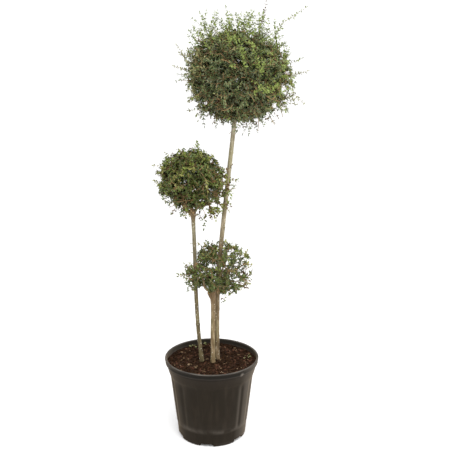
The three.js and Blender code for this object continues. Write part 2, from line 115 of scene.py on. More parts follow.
# Potting soil. Its lumps have a weight, a size and a layer of the noise.
SOIL_LEVEL = POT_HEIGHT - 0.032
SOIL_RELIEF = 0.004
SOIL_LUMPS = ((1, 0.045, 0.3), (0.6, 0.014, 0.7))
SOIL_WALL_RISE = 0.007
SOIL_DISH_RADIUS = 0.11
SOIL_RADIUS = BAND_RADIUS - POT_WALL - 0.0025
SOIL_GAP = 0.0005
SOIL_RINGS = 56
SOIL_SEGMENTS = 160

# Crumbs on the soil: how many, how long, how far their middles lie above the ground as a share of their
# thickness, and their finish with its tones. Widths and thicknesses are shares of the length, and each corner
# is moved in or out by a factor.
CRUMBS = {
    "compost_dark": (900, (0.008, 0.022), 0.2, "compost_crumb", ("#1b0f06", "#2a1a0e", "#3a2816")),
    "bark_chip_red": (330, (0.006, 0.019), 0.2, "rotted_bark_chip", ("#35211a", "#4a3023", "#5d4231")),
    "bark_chip_tan": (110, (0.005, 0.014), 0.3, "bark_chip", ("#54432f", "#6b5843", "#7f6c54")),
    "bark_chip_pale": (9, (0.008, 0.017), 0.9, "fresh_bark_chip", ("#86705a", "#a58d72", "#c4ae94")),
}
PALE_CHIP_PLACES = ((0.046, -0.13), (0.04, -0.132), (0.115, -0.09), (-0.106, -0.036), (-0.096, -0.038))
CRUMB_WIDTHS = (0.35, 0.8)
CRUMB_THICKNESSES = (0.2, 0.45)
CRUMB_CORNERS = (0.55, 1.15)
CRUMB_TILT = 0.35
CRUMB_ROLL = 0.3
CRUMB_WALL_GAP = 0.012
CRUMB_STEM_GAP = 0.014

# Fallen leaves: each heap has a place and a reach.
FALLEN_LEAF_HEAPS = ((-0.088, 0.16, 0.014), (-0.03, 0.184, 0.01), (0.176, 0.036, 0.013))
FALLEN_LEAVES_PER_HEAP = 7
FALLEN_LEAF_LENGTH = 0.011
FALLEN_LEAF_HEIGHTS = (0.004, 0.009)
FALLEN_LEAF_SCATTER = 0.5
FALLEN_LEAF_TILTS = (-0.2, 0.5)
FALLEN_LEAF_FACING = (0, -0.3, 1)
FALLEN_LEAF_ROLL = 0.4

# Boughs: each runs from inside its stem's head by way of a bend to its tip.
STEM_NAMES = ("tall_stem", "left_stem", "short_stem")
# Forks round which the bark is darkened, as painted shade under the balls
FORK_SHADE_CENTRES = ((-0.081, 0.011, 1.062), (0.006, -0.004, 0.702))
BOUGH_START_DEPTH = 0.022
BOUGH_ROOT_RADIUS = 0.0076
BOUGH_TIP_RADIUS = 0.0054
BOUGHS = {
    "middle_bough_right": ("left_stem", (-0.06, -0.002, 1.122), (0.008, 0, -0.008)),
    "middle_bough_left": ("left_stem", (-0.132, -0.008, 1.124), (-0.01, 0, -0.014)),
    "middle_bough_back": ("left_stem", (-0.092, 0.058, 1.124), (0, 0.008, -0.012)),
    "lower_bough_right": ("short_stem", (0.04, 0, 0.746), (0.01, 0, -0.008)),
    "lower_bough_left": ("short_stem", (-0.038, -0.018, 0.748), (-0.01, 0, -0.01)),
    "lower_bough_back": ("short_stem", (-0.018, 0.036, 0.748), (-0.004, 0.008, -0.01)),
}

# Stubs of pruned boughs on a stem: height, direction, length from the stem's middle, and radius
STUBS = {
    "left_stem": ((1.046, (0.2, -1, 0.25), 0.019, 0.0052), (1.026, (-0.6, -0.4, 1), 0.028, 0.0075)),
    "short_stem": ((0.64, (-0.42, -0.25, 1), 0.05, 0.0084),),
}
STUB_CUT = 0.0012
STUB_CUT_DEPTH = 0.004
STUB_POINTS = 6

# Bark relief: ridges, pits and the scars of old twigs. Squeezed heights make the ridges long, and the steps
# between scars are counted along the stem.
CURVE_POINTS = 40
BARK_STEP = 0.004
BARK_SIDES = 20
BARK_VOXEL = 0.0017
RIDGE_HEIGHT = 0.00045
RIDGE_WIDTH = 0.006
RIDGE_SQUEEZE = 0.18
PIT_DEPTH = 0.00022
PIT_WIDTH = 0.0028
SCAR_HEIGHT = 0.0016
SCAR_WIDTH = 0.006
SCAR_REACH = 0.02
SCAR_LIMIT = 1.2
SCAR_SHARE = 0.6
SCAR_STEPS = (9, 22)
SCAR_END_STEPS = 8

# Balls: side, up and down are the clipped outline's reach from the centre. Squareness is given above and
# below the centre, and 2 is round. Lobes are directions in which the outline stands out by a share. The seed
# sets the outline's lumps, and the growth seed what grows.
# Each order of growth gives how many twigs end at which share of the reach. Leafy twigs end between two
# shares, fewer towards the outer one. Inner leaves are longer by two factors, the innermost ones first, and
# the inner spacing is that of the innermost pairs. Bare and dry are the shares of twigs without leaves and
# with dry ones, and both grow downwards. Sunny deals more fresh leaves to the right side, partly as painted
# light there, and fresh leaves get commoner from a share of the upward reach.
# Airy gives a direction, the share of the side reach past which growth gets thinner, the share that is
# missing there, and the first order of twigs that it thins. Openings show the sky from the front, and give
# x, z and a radius. Shown stems pass in front of twigs and leaves between two heights, and shown forks in
# front of leaves alone. Straggling shoots are given by their tips, and upright sprigs by a place that they
# pass and their tips.
BALLS = {
    "top_ball": dict(
        carriers=("tall_stem",),
        seed=13, growth_seed=32,
        centre=(0.125, 0.045, 1.648), side=0.25, up=0.214, down=0.228, squareness=(2.3, 2.6),
        lobes=(
            ((1, 0, -0.1), 0.07), ((0.7, 0, 0.7), -0.05), ((-0.85, 0, 0.5), 0.04), ((-0.85, 0, -0.55), 0.03),
        ),
        orders=((9, 0.42), (44, 0.6), (190, 0.74), (800, 0.84)),
        leafy_twigs=5600, leafy_shares=(0.5, 1.27), leaf_length=0.0125, leaf_tones="young",
        inner_leaves=(1.6, 1.25), inner_spacing=0.0105,
        bare=0.11, dry=0.02, sunny=1.6, fresh_from=0.35,
        new_growth=200, new_growth_lengths=(0.03, 0.11),
        airy=(
            ((0, 0, 1), 0.5, 0.85, 2), ((0.6, 0, 0.8), 0.5, 0.85, 2), ((1, 0, 0.2), 0.8, 0.3, 3),
            ((0.8, 0, -0.5), 0.66, 0.45, 2), ((-0.6, -0.3, -0.75), 0.7, 0.35, 2),
            ((-1, 0, 0.25), 0.84, 0.4, 3), ((0, 0, -1), 0.76, 0.25, 2),
        ),
        openings=(
            (0.332, 1.652, 0.011), (0.319, 1.588, 0.01), (0.278, 1.514, 0.01), (0.251, 1.479, 0.009),
            (0.034, 1.53, 0.009), (-0.022, 1.523, 0.009), (-0.062, 1.521, 0.008),
        ),
        shown_stems=(),
        shown_forks=(),
        shoots=(
            (0.236, 0.02, 1.956), (0.411, 0.062, 1.926), (0.424, 0.04, 1.662), (0.388, -0.02, 1.712),
            (0.3, -0.09, 1.858), (0.232, 0.04, 1.428), (0.366, 0.03, 1.642), (0.36, 0.0, 1.59),
            (0.356, 0.02, 1.545), (0.332, 0.0, 1.5), (-0.106, 0.02, 1.695), (-0.1, 0.0, 1.58),
            (-0.094, 0.01, 1.53), (-0.086, 0.02, 1.495), (-0.06, 0.0, 1.475),
        ),
        sprigs=(
            ((0.103, -0.212, 1.714), (0.064, -0.19, 1.8)), ((0.122, -0.213, 1.714), (0.091, -0.208, 1.775)),
            ((0.146, -0.214, 1.706), (0.114, -0.216, 1.759)), ((0.136, -0.21, 1.662), (0.124, -0.224, 1.706)),
            ((0.206, -0.206, 1.623), (0.165, -0.218, 1.752)),
            ((0.186, -0.212, 1.676), (0.168, -0.224, 1.728)),
            ((0.206, -0.207, 1.63), (0.212, -0.222, 1.691)), ((0.187, -0.204, 1.561), (0.205, -0.224, 1.591)),
            ((0.22, -0.192, 1.557), (0.234, -0.215, 1.592)), ((0.25, -0.178, 1.561), (0.263, -0.2, 1.596)),
            ((0.29, -0.141, 1.545), (0.308, -0.164, 1.581)), ((0.295, -0.154, 1.656), (0.314, -0.159, 1.695)),
        ),
    ),
    "middle_ball": dict(
        carriers=("middle_bough_right", "middle_bough_left", "middle_bough_back"),
        seed=23, growth_seed=106,
        centre=(-0.084, 0.004, 1.203), side=0.17, up=0.138, down=0.154, squareness=(2.1, 2.6),
        lobes=(((0.85, 0, -0.5), 0.16), ((0.2, 0, -1), 0.06), ((0.6, 0, 0.75), -0.05)),
        orders=((8, 0.45), (26, 0.62), (90, 0.74), (320, 0.84)),
        leafy_twigs=1700, leafy_shares=(0.5, 1.26), leaf_length=0.0148, leaf_tones="old",
        inner_leaves=(1.5, 1.2), inner_spacing=0.018,
        bare=0.12, dry=0.06, sunny=0.2, fresh_from=0.8,
        new_growth=26, new_growth_lengths=(0.014, 0.04),
        airy=(
            ((0.7, 0, -0.7), 0.5, 0.25, 3), ((-0.7, 0, -0.7), 0.64, 0.6, 2), ((0.6, 0, 0.75), 0.56, 0.7, 3),
            ((-0.3, 0, 0.9), 0.6, 0.7, 3), ((0.3, 0, -1), 0.7, 0.2, 3),
        ),
        openings=(
            (-0.046, 1.103, 0.007), (-0.03, 1.107, 0.007), (-0.019, 1.076, 0.011), (-0.032, 1.051, 0.014),
            (0.047, 1.107, 0.011), (0.044, 1.14, 0.009), (0.054, 1.194, 0.009), (0.002, 1.277, 0.009),
        ),
        shown_stems=(),
        shown_forks=(("left_stem", 0.97, 1.056),),
        shoots=(
            (0.124, -0.022, 1.19), (0.11, -0.01, 1.17), (0.093, -0.005, 1.15), (0.09, 0, 1.112),
            (0.086, 0, 1.076), (0.064, -0.02, 1.07), (0.05, -0.03, 1.09), (0.036, -0.05, 1.07),
            (0.016, -0.04, 1.056), (0.07, -0.01, 1.21), (-0.032, -0.064, 0.988), (-0.048, -0.04, 1.03),
            (0, -0.03, 1.03), (0.026, 0, 1.036), (-0.168, -0.05, 1.055), (-0.126, -0.06, 1.05),
            (-0.106, -0.075, 1.072), (-0.07, -0.08, 1.068), (-0.04, -0.07, 1.06), (-0.112, -0.07, 1.045),
            (-0.094, -0.085, 1.052), (-0.078, -0.06, 1.036), (-0.06, -0.07, 1.05), (-0.024, -0.05, 1.044),
            (-0.01, -0.04, 1.058), (0.004, -0.02, 1.026), (0.022, -0.03, 1.02), (0.032, -0.02, 1.05),
            (-0.06, -0.008, 1.356),
        ),
        sprigs=(((-0.12, -0.13, 1.24), (-0.105, -0.15, 1.262)),),
    ),
    "lower_ball": dict(
        carriers=("lower_bough_right", "lower_bough_left", "lower_bough_back"),
        seed=38, growth_seed=119,
        centre=(0.03, -0.008, 0.775), side=0.174, up=0.153, down=0.084, squareness=(2.2, 3),
        lobes=(
            ((0.5, 0, 0.85), 0.05), ((-0.85, 0, -0.5), 0.1), ((0.85, 0, -0.5), 0.08), ((-1, 0, 0.2), -0.06),
        ),
        orders=((8, 0.45), (24, 0.62), (80, 0.76), (240, 0.86)),
        leafy_twigs=900, leafy_shares=(0.46, 1.24), leaf_length=0.0145, leaf_tones="old",
        inner_leaves=(1.2, 1.1), inner_spacing=0.021,
        bare=0.12, dry=0.06, sunny=0, fresh_from=0.85,
        new_growth=16, new_growth_lengths=(0.01, 0.03),
        airy=(
            ((1, 0, 0.1), 0.05, 0.4, 4), ((1, 0, 0.1), 0.3, 0.2, 3), ((0, 0, -1), 0.36, 0.3, 3),
            ((0, -1, 0), 0, 0.5, 4),
        ),
        openings=(
            (-0.034, 0.7, 0.013), (-0.052, 0.692, 0.013), (0.109, 0.809, 0.009), (0.135, 0.723, 0.008),
            (0.118, 0.742, 0.008), (0.136, 0.771, 0.008), (0.123, 0.786, 0.007), (0.097, 0.876, 0.01),
            (0.079, 0.864, 0.009), (0.018, 0.82, 0.005), (-0.057, 0.883, 0.009), (-0.097, 0.752, 0.009),
        ),
        shown_stems=(("left_stem", 0.79, 0.96), ("tall_stem", 0.845, 0.96)),
        shown_forks=(("tall_stem", 0.6, 0.672), ("short_stem", 0.6, 0.672)),
        shoots=(
            (0.058, -0.058, 0.66), (0.08, -0.05, 0.69), (-0.15, -0.02, 0.762), (-0.122, -0.02, 0.823),
            (-0.103, -0.04, 0.702),
        ),
        sprigs=(((-0.08, -0.03, 0.75), (-0.07, -0.05, 0.72)),),
    ),
}

# Growth rule shared by the balls. A fork nearer than the least distance counts as further off by a penalty.
GOLDEN_ANGLE = math.pi * (3 - math.sqrt(5))
OUTLINE_LUMP = 0.05
LUMP_WAVES = 5
LOBE_SHARPNESS = 8
SPREAD_JITTER = 0.16
SHARE_SPREAD = 0.07
TUFT_WAVES = 9
TUFT_LUMP = 0.2
BEND_SHARE = 0.42
HEADING_PULL = 0.45
TOO_NEAR_PENALTY = 10
ENDS_AT_ONCE = 200
AIRY_EDGE = 0.25
LEAF_ALLOWANCE = 0.7
LEAFY_TWIG_LENGTH = 0.042
LIMB_CLEARANCE = 0.002
LIMB_SEARCH = 0.03
BOX_MARGIN = 0.012

# Twigs by order of growth: radii at root and tip in millimetres, sides, and points along. The seam of every
# tube is turned by one direction.
TUBE_SEAM = (0.31, 0.52, 0.8)
TWIG_RADII = ((5.2, 3.2), (3.4, 1.9), (2.3, 1.4), (1.5, 0.9), (0.9, 0.45))
TWIG_SIDES = (8, 6, 5, 4, 3)
TWIG_POINTS = (8, 7, 6, 5, 5)
OLD_ORDERS = 3
BARE_TWIG_RADII = (1.8, 1)
BARE_TWIG_SIDES = 4

# Shoots. New growth covers the top zone of a ball. Its tips stand off from places between two shares of the
# reach, and furthest in the favoured direction.
SHOOT_RADII = (0.8, 0.35)
SHOOT_SIDES = 3
SHOOT_POINTS = 9
NEW_GROWTH_ZONE = 0.3
NEW_GROWTH_ROOTS = (0.7, 0.9)
NEW_GROWTH_RISE = (0, 0, 0.7)
NEW_GROWTH_SCATTER = 0.45
NEW_GROWTH_FAVOURS = (-0.35, 0, 1.3)
NEW_GROWTH_LEAST = 0.4
SIDE_SHOOTS = 2
SIDE_SHOOT_JOINTS = (3, 8)
SIDE_SHOOT_SCATTER = 0.6
SIDE_SHOOT_LENGTHS = (0.01, 0.024)
SPRIG_ROOT_GAP = 0.012

# Leaves: they face outwards and upwards, give or take a scatter, and get shorter towards a twig's tip.
PAIR_SPACING = 0.0105
PAIR_JITTER = (0.2, 0.8)
SHOOT_PAIR_SPACING = 0.0115
SPRIG_PAIR_SPACING = 0.008
LEAF_ANGLE = math.radians(58)
LEAF_ANGLE_SPREAD = 0.22
LEAF_OUTWARD = 0.6
LEAF_UPWARD = (0, 0, 0.75)
LEAF_SCATTER = 0.55
LEAF_LENGTHS = (0.78, 1.15)
LEAF_SHORTENING = 0.3
TIP_LEAF_SHARE = 0.72
TIP_LEAF_LENGTHS = (0.8, 1.15)
TIP_LEAF_DEPTH = 0.0008
LEAF_WIDTH_SHARE = 0.56
LEAF_FOLD = 0.16
LEAF_CURL = 0.12

# Shade of a twig's leaves, from deep to olive: its mean and spread, what its place adds, and the steps
# The place adds painted light towards the top, on the right and near the outline as seen from the front, and
# painted shade deeper inside the ball
SHADE_MEAN = 0.34
SHADE_SPREAD = 0.28
PATCH_SIZE = 0.06
PATCH_SHADE = 0.35
HEIGHT_PAINTED_LIGHT = 0.12
RIGHT_LIGHT_FROM = 0.3
RIGHT_PAINTED_LIGHT = 0.4
EDGE_LIGHT_FROM = 0.65
EDGE_LIGHT_MOST = 0.4
EDGE_PAINTED_LIGHT = 1.4
DEPTH_MEAN = 0.8
DEPTH_PAINTED_SHADE = 0.5
SHADE_STEPS = (0.2, 0.5, 0.8)

# How much commoner fresh leaves get towards the top, from which depth on, and dry ones downwards
FRESH_TOP = 1.05
FRESH_RISE = 0.5
FRESH_DEPTH = 0.6
FRESH_DEPTH_SPAN = 0.2
DRY_BELOW = 3


def linear(code):
    """An sRGB hex colour as linear red, green, blue and alpha."""
    channels = [int(code[i:i + 2], 16) / 255 for i in (1, 3, 5)]
    return [c / 12.92 if c <= 0.04045 else ((c + 0.055) / 1.055) ** 2.4 for c in channels] + [1]


# Materials

def plug(tree, node, **inputs):
    """Set up a node: settings have lower-case names, and sockets have names or, as in _6, numbers.

    A socket takes a value, or a link from a socket or from the first output that a node has in use.
    """
    for name, value in inputs.items():
        if name.islower():
            setattr(node, name, value)
            continue
        socket = node.inputs[int(name[1:]) if name[1:].isdigit() else name.replace("_", " ")]
        if isinstance(value, bpy.types.Node):
            value = next(output for output in value.outputs if output.enabled)
        if isinstance(value, bpy.types.NodeSocket):
            tree.links.new(value, socket)
        else:
            socket.default_value = value


def add(tree, kind, stops=(), **inputs):
    """A new node with its inputs. The stops of a colour ramp are positions with hex colours."""
    made = tree.nodes.new("ShaderNode" + kind)
    for index, (position, code) in enumerate(stops):
        elements = made.color_ramp.elements
        element = elements[index] if index < len(elements) else elements.new(position)
        element.position = position
        element.color = linear(code)
    plug(tree, made, **inputs)
    return made


def new_material(name, **shader):
    """A material with one principled shader, whose even values are set here."""
    material = bpy.data.materials.new(name)
    material.use_nodes = True
    tree = material.node_tree
    principled = tree.nodes["Principled BSDF"]
    plug(tree, principled, **shader)
    return material, tree, principled, add(tree, "TexCoord").outputs["Object"]


def mottled_material(name, grain_mm, detail, stops, **shader):
    """A material whose base colour wanders over the stops, in patches of about a grain's size."""
    material, tree, principled, place = new_material(name, **shader)
    grain = add(tree, "TexNoise", Vector=place, Scale=1 / (grain_mm * MM), Detail=detail)
    plug(tree, principled, Base_Color=add(tree, "ValToRGB", stops, Fac=grain))
    return material, tree, principled, grain


def layered(tree, colour, layers):
    """Colours laid over one another. A layer has a value, two limits of it, the shares there and a colour."""
    for value, low, high, low_share, high_share, over in layers:
        share = add(tree, "MapRange", Value=value, From_Min=low, From_Max=high, To_Min=low_share,
                    To_Max=high_share)
        colour = add(tree, "Mix", data_type="RGBA", Factor=share, _6=colour, _7=over)
    return colour


def moulded_polypropylene():
    """Black nursery plastic, moulded with a fine grain and dulled by dried splashes of soil.

    The eye sees a brown-black satin skin, paler where dust clings to its ledges and foot. Painted highlights
    lie on the lip, the ledges and a scratch, painted light on the right side and the inner wall, and a
    painted shadow line under the rim band.
    """
    material, tree, shader, place = new_material(
        "moulded_polypropylene", IOR=1.49, Specular_IOR_Level=0.05, Sheen_Weight=0.21, Sheen_Roughness=0.35,
        Sheen_Tint=linear("#d6b380"))
    height = add(tree, "SeparateXYZ", Vector=place).outputs["Z"]
    normal = add(tree, "NewGeometry").outputs["Normal"]
    facing = add(tree, "SeparateXYZ", Vector=normal).outputs

    # Skin: streaked on the body, with a painted shadow line and a painted highlight along the ledge of the
    # rim band, rubbed on the lip with a painted highlight, and with painted light on the inner wall
    runs = add(tree, "Mapping", Vector=place, Scale=(1, 1, 0.1))
    streak = add(tree, "TexNoise", Vector=runs, Scale=1 / (26 * MM), Detail=3.0)
    body = add(tree, "ValToRGB", ((0.3, "#1f1b15"), (0.55, "#221d17"), (0.75, "#2a241d")), Fac=streak)
    # Painted shadow: a dark line just under the rim band's ledge, and above it a pale worn edge that is also
    # its painted highlight
    tones = (
        (SHOULDER_HEIGHT, "#28221c"), (BAND_FOOT - 0.008, "#241f1a"), (BAND_FOOT - 0.002, "#110e0c"),
        (BAND_FOOT, "#37332f"), (BAND_FOOT + 0.003, "#2e2b28"), (BAND_FOOT + 0.006, "#181715"),
    )
    tone = add(tree, "ValToRGB", tones, Fac=height)
    level = add(tree, "VectorMath", operation="MULTIPLY", _0=place, _1=(1, 1, 0))
    outward = add(tree, "VectorMath", operation="DOT_PRODUCT", _0=level, _1=normal)
    skin = layered(tree, body, (
        (height, SHOULDER_HEIGHT, SHOULDER_HEIGHT + 0.03, 0, 0.8, tone),
        # Painted highlight on the top of the lip, along with its rubbed wear
        (height, POT_HEIGHT - LIP_ROUND, POT_HEIGHT - LIP_ROUND / 3, 0, LIP_WEAR_AND_HIGHLIGHT, linear("#524f4c")),
        # Painted light: the inward-facing wall is painted paler
        (outward, -0.15, 0, INNER_WALL_PAINTED_LIGHT, 0, linear("#7a7062")),
    ))

    # Dust on ledges, which also stands for their painted highlight, and on the splashed foot, in blotches; a
    # painted glint on the scratch, and painted light on the right side
    splashes = (
        (0, "#5c5c5c"), (0.02, "#1c1c1c"), (FOOT_HEIGHT - 0.002, "#000000"), (FOOT_HEIGHT + 0.012, "#7c7c7c"),
        (FOOT_HEIGHT + 0.03, "#303030"), (FOOT_HEIGHT + 0.1, "#000000"),
    )
    splash = add(tree, "ValToRGB", splashes, Fac=height)
    # Up-facing ledges are dusted paler, which also paints their highlight
    ledge_dust_and_highlight = add(tree, "MapRange", Value=facing["Z"], From_Min=0.1, From_Max=0.7, To_Max=0.35)
    settled_dust_and_highlight = add(tree, "Math", operation="ADD", _0=ledge_dust_and_highlight, _1=splash)
    film = add(tree, "TexNoise", Vector=place, Scale=1 / (60 * MM), Detail=5.0)
    blotch = add(tree, "MapRange", Value=film, From_Min=0.36, From_Max=0.66)
    blotched_dust_and_highlight = add(tree, "Math", operation="MULTIPLY", _0=settled_dust_and_highlight, _1=blotch)
    # Painted glint on a scratch in the rim band
    away = add(tree, "VectorMath", operation="DISTANCE", _0=place, _1=SCRATCH_GLINT_PLACE)
    scratch_glint = add(tree, "MapRange", Value=away, From_Max=SCRATCH_GLINT_REACH, To_Min=0.5, To_Max=0.0)
    # Painted light: the side facing right is painted paler, as if lit from the right
    side = add(tree, "MapRange", Value=facing["X"], From_Min=0.6, To_Max=RIGHT_SIDE_PAINTED_LIGHT)
    painted_light_marks = add(tree, "Math", operation="ADD", _0=side, _1=scratch_glint)
    dust_and_painted_light = add(tree, "Math", operation="ADD", _0=blotched_dust_and_highlight, _1=painted_light_marks)
    dusted_and_painted_light = add(tree, "Mix", data_type="RGBA", Factor=dust_and_painted_light, _6=skin, _7=linear("#877f76"))
    satin = add(tree, "MapRange", Value=film, From_Min=0.3, From_Max=0.7, To_Min=0.5, To_Max=0.65)

    # The moulded grain is drawn coarser than life, so that it shows.
    grain = add(tree, "TexNoise", Vector=place, Scale=1 / (1.6 * MM), Detail=2.0)
    bump = add(tree, "Bump", Height=grain, Strength=0.12, Distance=0.3 * MM)
    plug(tree, shader, Base_Color=dusted_and_painted_light, Roughness=satin, Normal=bump)
    return material


def composted_bark(name, dark, middle, pale):
    """Shredded bark, damp and rotted: matt, dark, and freckled by crumbs of other ages."""
    stops = ((0.34, dark), (0.52, middle), (0.7, pale))
    material, tree, shader, crumb = mottled_material(
        name, 9, 6.0, stops, Roughness=0.9, IOR=1.45, Specular_IOR_Level=0.1)
    plug(tree, shader, Normal=add(tree, "Bump", Height=crumb, Strength=0.5, Distance=1.5 * MM))
    return material


def smooth_privet_bark(name, high_tones, low_tones):
    """Thin bark of a young trunk, grown smooth: grey-tan, mottled lengthways, browner low down, and darkened
    round the forks as painted shade under the balls.

    The tones run from dark to pale. Pale pores are drawn larger and further apart than in life, to show.
    """
    material, tree, shader, place = new_material(name, Roughness=0.78, IOR=1.45)
    runs = add(tree, "Mapping", Vector=place, Scale=(1, 1, 0.22))
    mottle = add(tree, "TexNoise", Vector=runs, Scale=1 / (9 * MM), Detail=6.0)
    upper = add(tree, "ValToRGB", zip(MOTTLE_STOPS, high_tones), Fac=mottle)
    lower = add(tree, "ValToRGB", zip(MOTTLE_STOPS, low_tones), Fac=mottle)
    height = add(tree, "SeparateXYZ", Vector=place).outputs["Z"]
    algae = add(tree, "TexNoise", Vector=runs, Scale=1 / (34 * MM), Detail=3.0)
    fork_shade_distances = [add(tree, "VectorMath", operation="DISTANCE", _0=place, _1=fork) for fork in FORK_SHADE_CENTRES]
    pores = add(tree, "TexVoronoi", Vector=place, Scale=1 / (13 * MM))
    dotted = layered(tree, lower, (
        (height, 0.7, 1.25, 0, 1, upper),
        (algae, 0.5, 0.72, 0, 0.55, linear("#7d7750")),
        # Painted shade: darker brown round the forks
        *((away, 0.02, 0.1, 0.75, 0, linear("#664d30")) for away in fork_shade_distances),
        (pores, 0.12, 0.2, 0.85, 0, linear("#d3cdb8")),
    ))
    bump = add(tree, "Bump", Height=mottle, Strength=0.45, Distance=0.8 * MM)
    plug(tree, shader, Base_Color=dotted, Normal=bump)
    return material


def twig_wood(name, dark, pale):
    """Thin bark of young wood: satin, and streaked between two browns or greens."""
    return mottled_material(name, 14, 3.0, ((0.38, dark), (0.62, pale)), Roughness=0.6, IOR=1.45)[0]


def privet_leaf(name, dark, pale, roughness):
    """A leathery leaf with a waxy skin: satin gloss over a green that shifts a little across the blade."""
    stops = ((0.36, dark), (0.64, pale))
    return mottled_material(name, 9, 2.0, stops, Roughness=roughness, IOR=1.42, Specular_IOR_Level=0.45)[0]


def matt_white_sweep():
    """Painted studio board, rolled matt with a faint tooth, that the eye reads as one white ground."""
    stops = ((0.3, "#fdfdfd"), (0.7, "#ffffff"))
    return mottled_material("matt_white_sweep", 400, 2.0, stops, Roughness=0.9)[0]


LEAF_TONES = {
    "young": {
        "deep": ("#4b5237", "#565e42", 0.42),
        "dark": ("#485431", "#56633c", 0.42),
        "mid": ("#546138", "#647245", 0.45),
        "olive": ("#747649", "#898a5c", 0.48),
        "fresh": ("#647333", "#7c8a42", 0.5),
        "dry": ("#544224", "#6a5432", 0.6),
    },
    "old": {
        "deep": ("#3c421b", "#464e23", 0.4),
        "dark": ("#404b1d", "#4b5926", 0.4),
        "mid": ("#4f5c26", "#5d6b31", 0.44),
        "olive": ("#737539", "#88894b", 0.48),
        "fresh": ("#5e6d24", "#768331", 0.5),
        "dry": ("#4f3d1e", "#644e2b", 0.6),
    },
}
LEAF_CLASSES = tuple(LEAF_TONES["young"])
LEAVES = {
    age: {kind: privet_leaf(f"privet_leaf_{kind}_{age}", *tone) for kind, tone in tones.items()}
    for age, tones in LEAF_TONES.items()
}
OLD_WOOD = twig_wood("old_privet_wood", "#56492f", "#796a4a")
TWIG_BROWN = twig_wood("young_privet_wood", "#705637", "#967a51")
TWIG_GREEN = twig_wood("green_privet_shoot", "#6d7434", "#8f9150")
CUT_WOOD = twig_wood("weathered_cut_wood", "#9a7748", "#b9976a")
MOTTLE_STOPS = (0.32, 0.5, 0.68)
BARK_TONES = {
    "tall_stem": (("#726850", "#958b74", "#b3ab94"), ("#53442e", "#725f43", "#938266")),
    "left_stem": (("#645e46", "#837d66", "#9e9a82"), ("#443b25", "#5e5237", "#7a7052")),
    "short_stem": (("#726850", "#958b74", "#b3ab94"), ("#59492f", "#7a6648", "#9d8b6c")),
}
BARK = {stem: smooth_privet_bark(f"smooth_privet_bark_{stem}", *tones) for stem, tones in BARK_TONES.items()}
POT_PLASTIC = moulded_polypropylene()
SOIL = composted_bark("composted_bark", "#190d06", "#28170b", "#3d2917")


# Meshes from arrays

def mesh_piece(name, points, faces, material, material_slot, smooth=True):
    """A piece of the object from its points and a list of face arrays, each with one number of corners."""
    mesh = bpy.data.meshes.new(name)
    points = np.asarray(points, np.float32).reshape(-1, 3)
    corners = np.concatenate([part.ravel() for part in faces])
    sizes = np.concatenate([np.full(len(part), part.shape[1]) for part in faces])
    starts = np.concatenate([[0], np.cumsum(sizes)[:-1]])
    mesh.vertices.add(len(points))
    mesh.vertices.foreach_set("co", points.ravel())
    mesh.loops.add(len(corners))
    mesh.loops.foreach_set("vertex_index", corners.astype(np.int32))
    mesh.polygons.add(len(sizes))
    mesh.polygons.foreach_set("loop_start", starts.astype(np.int32))
    mesh.update(calc_edges=True)
    mesh.polygons.foreach_set("use_smooth", np.full(len(sizes), smooth))
    mesh.materials.append(material)
    piece = bpy.data.objects.new(name, mesh)
    bpy.context.scene.collection.objects.link(piece)
    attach(piece, "root")
    return piece


def unit(vectors):
    return vectors / np.maximum(np.linalg.norm(vectors, axis=-1, keepdims=True), 1e-12)


def round_grid(rows, columns):
    """Quads of a grid of points, row by row, whose last column is joined to its first."""
    row, column = np.meshgrid(np.arange(rows - 1), np.arange(columns), indexing="ij")
    following = (column + 1) % columns
    return np.stack([
        row * columns + column,
        row * columns + following,
        (row + 1) * columns + following,
        (row + 1) * columns + column,
    ], -1).reshape(-1, 4)


def closed_grid(rows, columns):
    """Faces of a round grid, and of fans from its first and last rows to two points listed after it."""
    around = np.arange(columns)
    following = (around + 1) % columns
    last = (rows - 1) * columns
    middle = np.full_like(around, rows * columns)
    return [
        round_grid(rows, columns),
        np.stack([middle, following, around], -1),
        np.stack([middle + 1, last + around, last + following], -1),
    ]


def tubes(paths, radii, sides):
    """Closed tubes along paths of equal point count, with a radius at each point, as points and faces."""
    count, steps = paths.shape[:2]
    along = unit(np.gradient(paths, axis=1))
    across = unit(np.cross(along, unit(np.array(TUBE_SEAM))))
    beside = np.cross(along, across)
    turn = np.arange(sides) * 2 * math.pi / sides
    spokes = across[:, :, None] * np.cos(turn)[:, None] + beside[:, :, None] * np.sin(turn)[:, None]
    points = paths[:, :, None] + spokes * radii[:, :, None, None]
    first = (np.arange(count) * steps * sides)[:, None, None]
    walls = (first + round_grid(steps, sides)).reshape(-1, 4)
    foot = first[:, :, 0] + np.arange(sides)[::-1]
    tip = first[:, :, 0] + (steps - 1) * sides + np.arange(sides)
    return points.reshape(-1, 3), [walls, np.concatenate([foot, tip])]


def joined(parts):
    """Several sets of points and faces as one."""
    points, faces, start = [], [], 0
    for part_points, part_faces in parts:
        points.append(part_points)
        faces.extend(face + start for face in part_faces)
        start += len(part_points)
    return np.concatenate(points), faces


# Pot

def arc(centre, radius, start, end, count):
    """Points of radius and height on a round stretch of a profile."""
    turn = np.radians(np.linspace(start, end, count))
    return [(centre[0] + radius * math.cos(a), centre[1] + radius * math.sin(a)) for a in turn]


def stretch(start, end, count):
    """Points on a straight stretch of a profile, without its end."""
    return [tuple(p) for p in np.linspace(start, end, count, endpoint=False)]


